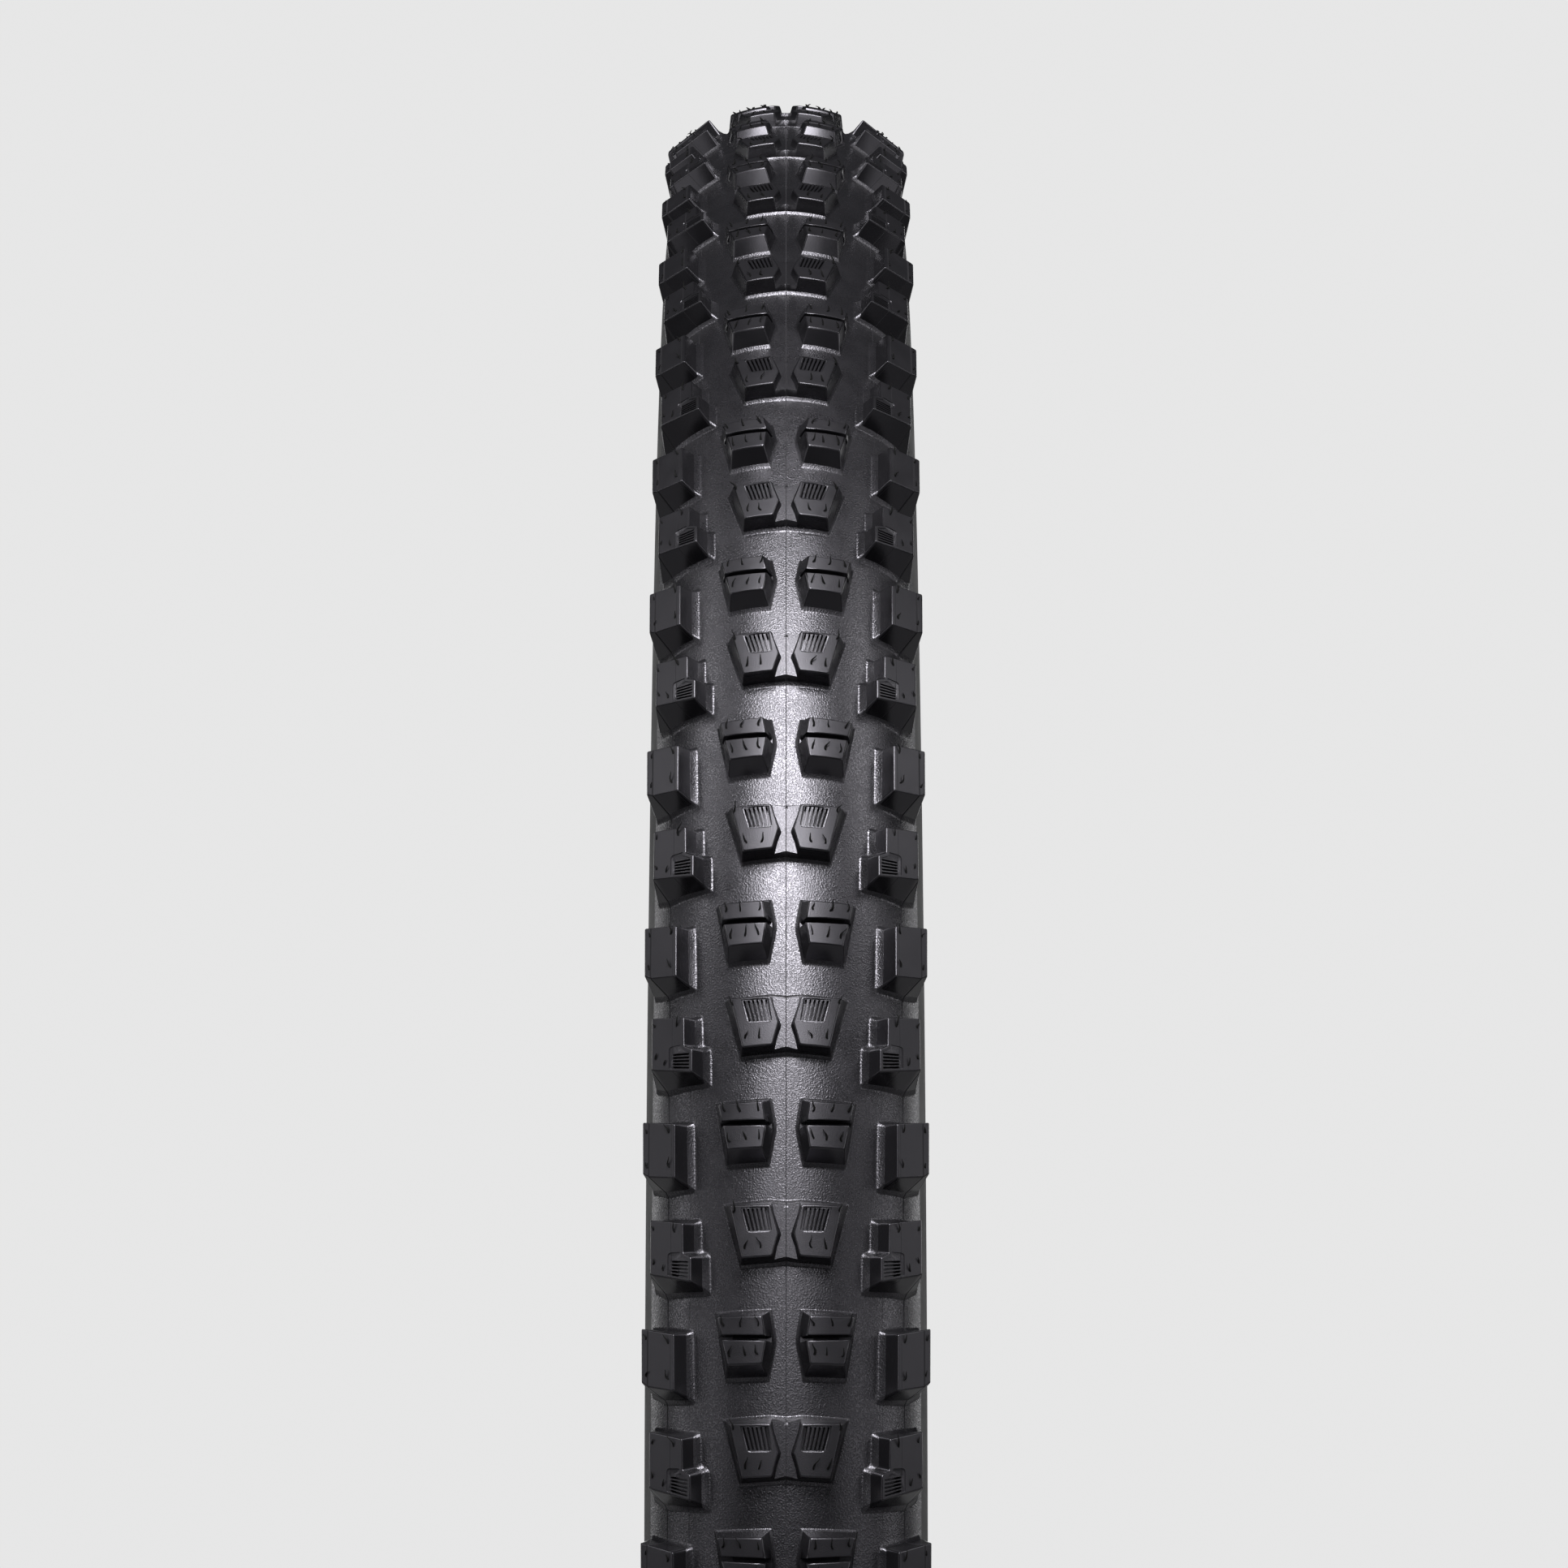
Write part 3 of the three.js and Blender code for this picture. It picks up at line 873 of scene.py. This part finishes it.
def build_tread(material):
    center = Body()
    all_round(center, *strip_pitch(lambda s: -seam_u(s), seam_u, center_blocks))
    tread_piece("tread_center", center, center_top_direction, material)
    vent_hairs("tread_center", CENTER_HAIRS, center_top_radius, (1, -1), 11)

    for name, side, seed in (("right", 1, 23), ("left", -1, 37)):
        shoulder = Body()
        all_round(shoulder, *strip_pitch(seam_u, outer_u, shoulder_blocks))
        if side < 0:
            for points in shoulder.points:
                points[:, 1] *= -1
            shoulder.faces = [face[::-1] for face in shoulder.faces]
        tread_piece(f"tread_shoulder_{name}", shoulder, shoulder_top_direction, material)
        vent_hairs(f"tread_shoulder_{name}", SHOULDER_HAIRS, shoulder_top_radius, (side,), seed)


# ---- Rings: everything that is plain round the wheel --------------------------------------------
# A section is a closed list of (y, radius), for the right side where the ring has a side.

SIDES = (("right", 1), ("left", -1))
RING_SEGMENTS = 4 * PITCHES
CONTOUR_STEPS = 26


def contour():
    """Outside of the casing from the centre line down to the last point of the lower wall."""
    points = []
    for step in range(CONTOUR_STEPS + 1):
        angle = math.pi / 2 * step / CONTOUR_STEPS
        rho = base_rho(angle * PLAN_SCALE)
        points.append(Vector((rho * math.sin(angle), EQUATOR_RADIUS + rho * math.cos(angle))))
    for step in range(1, CONTOUR_STEPS // 2 + 1):
        angle = LOWER_WALL_END * step / (CONTOUR_STEPS // 2)
        y = CASING_HALF_WIDTH - LOWER_WALL_RADIUS * (1 - math.cos(angle))
        points.append(Vector((y, EQUATOR_RADIUS - LOWER_WALL_RADIUS * math.sin(angle))))
    return points


CONTOUR = contour()


def sunk(depth_at):
    """The contour moved inwards by depth_at(its point)."""
    moved = []
    for i, here in enumerate(CONTOUR):
        before = CONTOUR[max(0, i - 1)]
        after = CONTOUR[min(len(CONTOUR) - 1, i + 1)]
        along = (after - before).normalized()
        if i == 0:
            along = Vector((1, 0))
        moved.append(here - Vector((-along.y, along.x)) * depth_at(here))
    return moved


def between(low, high):
    """A depth that goes from low under the tread to high on the sidewall."""
    start = base_radius(24.0)

    def depth_at(point):
        share = min(1.0, max(0.0, (start - point.y) / (start - EQUATOR_RADIUS)))
        return low + (high - low) * share
    return depth_at


def revolve(name, section, side=1, segments=RING_SEGMENTS, lobes=None):
    """A closed ring. Its corners carry how far along the wheel and along the section they lie, in mm."""
    section = [Vector((y * side, radius)) for y, radius in section]
    count = len(section)
    lengths = [0.0]
    for i in range(count):
        lengths.append(lengths[-1] + (section[(i + 1) % count] - section[i]).length)
    points = []
    for k in range(segments):
        angle = 2 * math.pi * k / segments
        ring = lobes(k / segments) if lobes else section
        for y, radius in ring:
            points.append((radius * math.cos(angle) * MM, y * MM, radius * math.sin(angle) * MM))
    faces = []
    lay = []
    area = sum(section[i - 1].cross(p) for i, p in enumerate(section))
    circle = 2 * math.pi * EQUATOR_RADIUS
    for k in range(segments):
        following = (k + 1) % segments
        for i in range(count):
            j = (i + 1) % count
            corners = [
                (k * count + i, k, i), (k * count + j, k, i + 1),
                (following * count + j, k + 1, i + 1), (following * count + i, k + 1, i),
            ]
            if area < 0:
                corners.reverse()
            faces.append(tuple(corner[0] for corner in corners))
            lay += [(circle * ring / segments, lengths[at], 0.0) for _, ring, at in corners]
    piece = make_object(name, np.array(points), faces)
    layer = piece.data.attributes.new("lay", "FLOAT_VECTOR", "CORNER")
    layer.data.foreach_set("vector", np.array(lay, dtype=np.float32).ravel())
    return piece


def soft_corners(section, rounding):
    corners = [Vector(point) for point in section]
    points, _ = rounded(corners, [rounding] * len(corners), [1] * len(corners))
    return points


def both_sides(node, ending, section, material):
    """One ring on each side, from the right one's section."""
    for name, side in SIDES:
        piece = revolve(f"{node}_{name}_{ending}", section, side)
        register(piece, f"{node}_{name}", material)


SIDEWALL_DEPTH = 0.8
BREAKER_HALF_WIDTH = 21.0
BREAKER_DEPTH = 1.95          # below the tread's base
BREAKER_THICKNESS = 0.45
SIDEWALL_FOOT = Vector((18.1, 317.9))
CHAFER_THICKNESS = 0.5
BEAD_TOE_Y = 10.4
PLY_THICKNESS = 0.45
LAYER_GAP = 0.15
CORE_MIDDLE = Vector((12.4, 313.75))
CORE_RADIUS = 1.3


RIB_SEGMENTS = (-7, -6, -4)    # counted from the bead end of the sidewall's outline
RIB_HEIGHT = 0.22
RIB_HALF_WIDTH = 0.35


def ribbed(outline):
    """The outline with a fine raised ring in the middle of some segments, to check the fit on the rim."""
    points = []
    for i, (here, after) in enumerate(zip(outline, outline[1:])):
        points.append(here)
        if i - len(outline) + 1 in RIB_SEGMENTS:
            along = (after - here).normalized()
            middle = (here + after) / 2
            crest = middle + Vector((-along.y, along.x)) * RIB_HEIGHT
            points += [middle - along * RIB_HALF_WIDTH, crest - along * RIB_HALF_WIDTH / 2]
            points += [crest + along * RIB_HALF_WIDTH / 2, middle + along * RIB_HALF_WIDTH]
    return points + [outline[-1]]


def build_sidewalls(material):
    start = next(i for i, p in enumerate(CONTOUR) if p.x >= SHOULDER_STRIP_EDGE)
    seam = Vector((SHOULDER_STRIP_EDGE, base_radius(SHOULDER_STRIP_EDGE)))
    outer = ribbed([seam, *CONTOUR[start:], SIDEWALL_FOOT])
    seam_inside = seam + Vector((-0.9, -0.35))
    foot_inside = SIDEWALL_FOOT + Vector((-0.45, 0.62))
    inner = [seam_inside, *sunk(lambda p: SIDEWALL_DEPTH)[start:], foot_inside]
    both_sides("sidewall", "rubber", outer + inner[::-1], material)


def across(points):
    """A face over the centre line, from the right half's points."""
    return [Vector((-p.x, p.y)) for p in reversed(points[1:])] + points


def build_breaker(material):
    end = next(i for i, p in enumerate(CONTOUR) if p.x > BREAKER_HALF_WIDTH)
    outer = sunk(lambda p: BREAKER_DEPTH)[:end]
    inner = sunk(lambda p: BREAKER_DEPTH + BREAKER_THICKNESS)[:end]
    piece = revolve("breaker_belt_fabric", across(outer) + across(inner)[::-1])
    register(piece, "breaker_belt", material)


def build_ply(material):
    underside = BEAD_SEAT_RADIUS + CHAFER_THICKNESS + LAYER_GAP
    outside = BEAD_FACE_Y - CHAFER_THICKNESS - LAYER_GAP
    t = PLY_THICKNESS
    around_core = [
        (BEAD_TOE_Y + t, 315.45), (BEAD_TOE_Y + t, underside + t), (outside - t, underside + t),
        (outside - t, 316.7), (18.4, 319.9),
    ]
    around_chafer = [
        (BEAD_TOE_Y, 315.75), (BEAD_TOE_Y, underside), (outside, underside),
        (outside, 316.4), (18.75, 319.45),
    ]
    outer = sunk(between(2.55, 1.55)) + [Vector(p) for p in around_core]
    inner = sunk(between(3.15, 2.15)) + [Vector(p) for p in around_chafer]
    piece = revolve("casing_ply_fabric", across(outer) + across(inner)[::-1])
    register(piece, "casing_ply", material)


def build_chafers(material):
    t = CHAFER_THICKNESS
    section = [
        (17.8, 317.7), (BEAD_FACE_Y, 316.0), (BEAD_FACE_Y, BEAD_SEAT_RADIUS),
        (BEAD_TOE_Y, BEAD_SEAT_RADIUS), (BEAD_TOE_Y, BEAD_SEAT_RADIUS + t),
        (BEAD_FACE_Y - t, BEAD_SEAT_RADIUS + t),
        (BEAD_FACE_Y - t, 316.25), (17.5, 318.2),
    ]
    both_sides("chafer", "fabric", soft_corners(section, 0.22), material)


def build_fillers(material):
    section = [(11.55, 315.35), (16.4, 318.75), (13.7, 316.65), (13.7, 315.35)]
    both_sides("bead_filler", "rubber", soft_corners(section, 0.25), material)


def build_cores(material):
    strands = 9
    twists = 48
    count = 4 * strands

    def rope(side):
        def ring_at(share):
            turned = side * 2 * math.pi * twists / strands * share
            ring = []
            for k in range(count):
                angle = 2 * math.pi * k / count
                size = CORE_RADIUS * (0.84 + 0.16 * abs(math.cos(strands / 2 * (angle + turned))))
                y = side * (CORE_MIDDLE.x + size * math.sin(angle))
                ring.append((y, CORE_MIDDLE.y + size * math.cos(angle)))
            return ring
        return ring_at

    for name, side in SIDES:
        section = [(abs(y), radius) for y, radius in rope(side)(0)]
        piece = revolve(f"bead_core_{name}_strand", section, side, 3 * RING_SEGMENTS, rope(side))
        register(piece, f"bead_core_{name}", material)


# ---- Materials ----------------------------------------------------------------------------------

class Recipe:
    """Builds a node material. An input may be a value or another node's output."""

    def __init__(self, name):
        self.material = bpy.data.materials.new(name)
        self.material.use_nodes = True
        self.tree = self.material.node_tree
        self.shader = self.tree.nodes["Principled BSDF"]
        self.place = self.node("ShaderNodeTexCoord", output="Object")

    def node(self, kind, inputs=(), output=0, **settings):
        made = self.tree.nodes.new(kind)
        for key, value in settings.items():
            setattr(made, key, value)
        for key, value in dict(inputs).items():
            self.feed(made.inputs[key], value)
        return made.outputs[output]

    def feed(self, socket, value):
        if isinstance(value, bpy.types.NodeSocket):
            self.tree.links.new(value, socket)
        else:
            socket.default_value = value

    def set(self, **inputs):
        for key, value in inputs.items():
            self.feed(self.shader.inputs[key.replace("_", " ")], value)

    def math(self, operation, a, b=0.0):
        return self.node("ShaderNodeMath", {0: a, 1: b}, operation=operation)

    def add(self, a, b):
        return self.math("ADD", a, b)

    def take(self, a, b):
        return self.math("SUBTRACT", a, b)

    def times(self, a, b):
        return self.math("MULTIPLY", a, b)

    def larger(self, a, b):
        return self.math("MAXIMUM", a, b)

    def waves(self, value):
        """Rounded ridges, one for each whole number."""
        return self.math("ABSOLUTE", self.math("SINE", self.times(value, math.pi)))

    def axes(self, vector):
        return self.node("ShaderNodeSeparateXYZ", {0: vector}).node.outputs

    def attribute(self, name, output="Fac"):
        settings = {"attribute_name": name, "attribute_type": "GEOMETRY"}
        return self.node("ShaderNodeAttribute", output=output, **settings)

    def lay(self):
        """Millimetres along the wheel and along the section, on a ring."""
        return self.axes(self.attribute("lay", "Vector"))

    def noise(self, scale, detail=2.0, roughness=0.5):
        inputs = {"Vector": self.place, "Scale": scale, "Detail": detail, "Roughness": roughness}
        return self.node("ShaderNodeTexNoise", inputs)

    def span(self, value, low, high, to_low=0.0, to_high=1.0):
        return self.node("ShaderNodeMapRange", {0: value, 1: low, 2: high, 3: to_low, 4: to_high})

    def spread(self, noise, to_low=0.0, to_high=1.0):
        """Noise lies mostly between 0.3 and 0.7, and is stretched to this range."""
        return self.span(noise, 0.3, 0.7, to_low, to_high)

    def mix(self, share, a, b):
        return self.node("ShaderNodeMix", {0: share, 6: a, 7: b}, output=2, data_type="RGBA")

    def bump(self, height, distance, strength=1.0):
        return self.node("ShaderNodeBump", {"Height": height, "Distance": distance, "Strength": strength})


def gray(value, tint=(1.0, 1.0, 1.0)):
    return (value * tint[0], value * tint[1], value * tint[2], 1.0)


RUBBER_TINT = (1.0, 0.96, 1.1)
SHEEN_TINT = (0.93, 0.9, 1.0)


def mould_line(recipe, y, radius, at_y, at_radius, slope, half_width):
    """1 on the cone through (at_y, at_radius), where two mould segments met, and 0 away from it."""
    lean = recipe.times(recipe.take(radius, at_radius * MM), slope)
    distance = recipe.math("ABSOLUTE", recipe.take(recipe.take(y, at_y * MM), lean))
    return recipe.span(distance, half_width * MM, half_width * 1.6 * MM, 1.0, 0.0)


def tread_lines(recipe):
    """A faint line at the centre and on each shoulder, and a dark line near each outer edge."""
    x, y, z = recipe.axes(recipe.place)
    away = recipe.math("ABSOLUTE", y)
    radius = recipe.math("SQRT", recipe.add(recipe.times(x, x), recipe.times(z, z)))
    center = mould_line(recipe, away, radius, 0.0, 365.0, 0.0, 0.06)
    inner = mould_line(recipe, away, radius, 19.5, base_radius(19.5), 1.12, 0.06)
    outer = mould_line(recipe, away, radius, 28.0, shoulder_top_radius(28.0), 0.87, 0.18)
    return recipe.larger(recipe.times(recipe.larger(center, inner), 0.7), outer)


def tread_height(recipe, grain, stipple):
    """A pebbled base, and finely stippled tops, which are smoother on the shoulders."""
    pebbles = recipe.span(recipe.noise(3000.0, 1.0), 0.32, 0.68)
    fine = recipe.spread(recipe.noise(5000.0, 1.0))
    sideways = recipe.math("ABSOLUTE", recipe.axes(recipe.place)[1])
    top_grain = recipe.span(sideways, 14.0 * MM, 19.0 * MM, 0.5, 0.12)
    fine_share = recipe.larger(recipe.times(stipple, top_grain), 0.04)
    return recipe.add(recipe.times(pebbles, grain), recipe.times(fine, fine_share))


def tread_rubber():
    recipe = Recipe("tread_rubber")
    grain = recipe.attribute("grain")
    stipple = recipe.attribute("stipple")
    lines = tread_lines(recipe)
    height = tread_height(recipe, grain, stipple)
    # The crest is the grain's height, and the stippled tops count as half a crest. It sets roughness and
    # specular level, and in the colour it drives a painted highlight.
    crest = recipe.larger(recipe.span(height, 0.15, 0.9), recipe.times(stipple, 0.5))

    cloud = recipe.spread(recipe.noise(38.0, 3.0))
    tone = recipe.mix(cloud, gray(0.0055, RUBBER_TINT), gray(0.0085, RUBBER_TINT))
    # Painted highlight: grain crests and stippled tops take a lighter colour than the walls and hollows.
    # This stands in for the glints and sheen that light gives them.
    painted_highlight_tone = recipe.mix(crest, tone, gray(0.009, RUBBER_TINT))
    worn = recipe.span(recipe.noise(160.0, 3.0), 0.35, 0.7, 0.2, 0.27)
    moulded = recipe.add(recipe.times(grain, 0.15), recipe.times(stipple, 0.14))
    polish = recipe.times(crest, recipe.times(grain, -0.13))
    shine = recipe.take(recipe.span(crest, 0.0, 1.0, 0.56, 0.84), recipe.times(stipple, 0.22))
    recipe.set(
        Base_Color=recipe.mix(lines, painted_highlight_tone, gray(0.003)),
        Roughness=recipe.add(recipe.add(worn, moulded), recipe.add(polish, lines)),
        Specular_IOR_Level=shine,
        Specular_Tint=gray(1.0, SHEEN_TINT),
        Normal=recipe.bump(height, 0.000028),
    )
    return recipe.material


def vent_rubber():
    recipe = Recipe("vent_rubber")
    recipe.set(
        Base_Color=recipe.mix(recipe.noise(700.0), gray(0.001), gray(0.003)),
        Roughness=recipe.spread(recipe.noise(2000.0), 0.7, 0.85),
        Specular_IOR_Level=0.12,
    )
    return recipe.material


def cords(recipe, pitch):
    """Parallel cords, slanting across the section."""
    along, around, _ = recipe.lay()
    return recipe.waves(recipe.times(recipe.add(along, around), 1 / pitch))


def sidewall_rubber():
    """Satin rubber, through which the casing's cords show faintly."""
    recipe = Recipe("sidewall_rubber")
    cloud = recipe.noise(60.0, 4.0)
    height = recipe.add(recipe.times(cords(recipe, 0.9), 0.35), recipe.times(recipe.noise(1500.0), 0.6))
    recipe.set(
        Base_Color=recipe.mix(cloud, gray(0.024), gray(0.036)),
        Roughness=recipe.spread(cloud, 0.5, 0.66),
        Normal=recipe.bump(height, 0.00008, 0.8),
    )
    return recipe.material


def threads(recipe, height, fuzz, worn, relief, dark, light, roughness):
    """Finishes a fabric: light on its threads' crests and dark between them.

    A crest takes a share of the light tone from worn to 1, by the fuzz, and is relief metres high.
    """
    recipe.set(
        Base_Color=recipe.mix(recipe.times(height, recipe.spread(fuzz, worn, 1.0)), dark, light),
        Roughness=recipe.spread(fuzz, roughness - 0.08, roughness + 0.06),
        Normal=recipe.bump(height, relief, 0.9),
    )
    return recipe.material


def woven(name, dark, light, pitch, roughness):
    """Plain weave: warp and weft threads take turns on top."""
    recipe = Recipe(name)
    along, around, _ = [recipe.times(axis, 1 / pitch) for axis in recipe.lay()]
    parity = recipe.add(recipe.math("FLOOR", along), recipe.math("FLOOR", around))
    over = recipe.math("PINGPONG", parity, 1.0)
    warp = recipe.times(over, recipe.waves(along))
    weft = recipe.times(recipe.take(1.0, over), recipe.waves(around))
    fuzz = recipe.noise(800.0, 3.0)
    return threads(recipe, recipe.add(warp, weft), fuzz, 0.6, 0.00015, dark, light, roughness)


def corded(name, dark, light, pitch, roughness):
    recipe = Recipe(name)
    fuzz = recipe.noise(70.0, 4.0)
    return threads(recipe, cords(recipe, pitch), fuzz, 0.5, 0.00016, dark, light, roughness)


def aramid():
    recipe = Recipe("bead_cord")
    fibre = recipe.noise(1800.0, 4.0, 0.7)
    recipe.set(
        Base_Color=recipe.mix(recipe.spread(fibre), (0.42, 0.26, 0.05, 1.0), (0.66, 0.46, 0.13, 1.0)),
        Roughness=recipe.spread(fibre, 0.42, 0.6),
        Sheen_Weight=0.3,
        Normal=recipe.bump(fibre, 0.0001, 0.8),
    )
    return recipe.material


def filler_rubber():
    recipe = Recipe("filler_rubber")
    cloud = recipe.noise(300.0, 4.0)
    recipe.set(
        Base_Color=recipe.mix(cloud, gray(0.03), gray(0.048)),
        Roughness=recipe.spread(cloud, 0.62, 0.76),
        Normal=recipe.bump(cloud, 0.0001, 0.5),
    )
    return recipe.material


# ---- Stage: floor, light and camera -------------------------------------------------------------

BACKDROP = 0.797              # linear value of the pale backdrop
AMBIENT = 0.02
FLOOR_RADIUS = 2.4
FLOOR_TONE = 0.42
FLOOR_TONE_LIGHTING = 0.2     # for the light that it throws back onto the tire


def build_world():
    world = bpy.data.worlds.new("studio")
    bpy.context.scene.world = world
    world.use_nodes = True
    tree = world.node_tree
    ambient = tree.nodes["Background"]
    ambient.inputs["Color"].default_value = (0.85, 0.9, 1.0, 1.0)
    ambient.inputs["Strength"].default_value = AMBIENT
    seen = tree.nodes.new("ShaderNodeBackground")
    seen.inputs["Color"].default_value = gray(BACKDROP)
    ray = tree.nodes.new("ShaderNodeLightPath")
    mix = tree.nodes.new("ShaderNodeMixShader")
    tree.links.new(ray.outputs["Is Camera Ray"], mix.inputs[0])
    tree.links.new(ambient.outputs[0], mix.inputs[1])
    tree.links.new(seen.outputs[0], mix.inputs[2])
    tree.links.new(mix.outputs[0], tree.nodes["World Output"].inputs["Surface"])


def build_floor(height):
    """A pale disc that thins out towards its rim, so that it has no edge against the backdrop."""
    rings = 24
    segments = 96
    points = [(0.0, 0.0, height)]
    for ring in range(1, rings + 1):
        for k in range(segments):
            angle = 2 * math.pi * k / segments
            reach = FLOOR_RADIUS * ring / rings
            points.append((reach * math.cos(angle), reach * math.sin(angle), height))
    faces = [(0, 1 + k, 1 + (k + 1) % segments) for k in range(segments)]
    for ring in range(rings - 1):
        for k in range(segments):
            a = 1 + ring * segments + k
            b = 1 + ring * segments + (k + 1) % segments
            faces.append((a, a + segments, b + segments, b))
    floor = make_object("floor", np.array(points), faces)
    recipe = Recipe("floor")
    out = recipe.node("ShaderNodeVectorMath", {0: recipe.place}, output="Value", operation="LENGTH")
    seen = recipe.node("ShaderNodeLightPath")
    recipe.set(
        Base_Color=recipe.mix(seen, gray(FLOOR_TONE_LIGHTING), gray(FLOOR_TONE)),
        Roughness=0.9,
        Alpha=recipe.span(out, 0.35 * FLOOR_RADIUS, 0.98 * FLOOR_RADIUS, 1.0, 0.0),
    )
    floor.data.materials.append(recipe.material)


def area_light(name, elevation, azimuth, distance, size, power, target=(0.0, 0.0, 0.1)):
    """A soft box. Azimuth 0 is the camera's side."""
    rise, turn = math.radians(elevation), math.radians(azimuth)
    away = Vector((math.cos(rise) * math.cos(turn), math.cos(rise) * math.sin(turn), math.sin(rise)))
    lamp = bpy.data.lights.new(name, "AREA")
    lamp.shape = "RECTANGLE"
    lamp.size, lamp.size_y = size
    lamp.energy = power
    light = bpy.data.objects.new(name, lamp)
    light.location = Vector(target) + away * distance
    light.rotation_euler = away.to_track_quat("Z", "Y").to_euler()
    light.visible_camera = False
    bpy.context.scene.collection.objects.link(light)


FRONT_DISTANCE = 2.2
SIDE_DISTANCE = 2.4
FRONT_STRIPS = ((22, 4), (36, 3), (50, 34), (66, 38))                       # elevation, watts
SIDE_FILLS = ((50, 10, 3), (85, 10, 5), (80, 45, 9), (135, 3, 4))           # azimuth, elevation, watts


def build_lights():
    for elevation, power in FRONT_STRIPS:
        area_light(f"front_strip_{elevation}", elevation, 0, FRONT_DISTANCE, (0.7, 0.5), power)
    for azimuth, elevation, power in SIDE_FILLS:
        for name, side in SIDES:
            label = f"{name}_fill_{azimuth}"
            area_light(label, elevation, side * azimuth, SIDE_DISTANCE, (0.9, 0.9), power)
    area_light("back_fill", 3, 180, SIDE_DISTANCE, (1.2, 0.8), 5)


CAMERA_DISTANCE = 1.682
CAMERA_ELEVATION = math.radians(7.12)
CAMERA_PITCH = math.radians(-0.38)
FIELD_OF_VIEW = math.radians(13.68)
CAMERA_SHIFT = -0.0013        # the tire stands slightly off the middle of the picture


def build_camera():
    data = bpy.data.cameras.new("camera")
    data.sensor_width = 36
    data.lens = data.sensor_width / 2 / math.tan(FIELD_OF_VIEW / 2)
    camera = bpy.data.objects.new("camera", data)
    away = Vector((math.cos(CAMERA_ELEVATION), 0, math.sin(CAMERA_ELEVATION)))
    camera.location = away * CAMERA_DISTANCE
    back = Vector((math.cos(CAMERA_PITCH), 0, -math.sin(CAMERA_PITCH)))
    camera.rotation_euler = back.to_track_quat("Z", "Y").to_euler()
    data.shift_x = CAMERA_SHIFT
    bpy.context.scene.collection.objects.link(camera)
    bpy.context.scene.camera = camera


# ---- Scene --------------------------------------------------------------------------------------

build_tread(tread_rubber())
build_sidewalls(sidewall_rubber())
build_breaker(woven("breaker_fabric", gray(0.03), (0.10, 0.085, 0.06, 1.0), 0.9, 0.75))
build_ply(corded("casing_fabric", gray(0.016), (0.075, 0.066, 0.052, 1.0), 0.55, 0.62))
build_chafers(woven("chafer_fabric", gray(0.012), gray(0.045), 0.6, 0.72))
build_cores(aramid())
build_fillers(filler_rubber())

bpy.context.scene.view_settings.view_transform = "Standard"
build_world()
build_floor(cad_bounds[0].z)
build_lights()
build_camera()
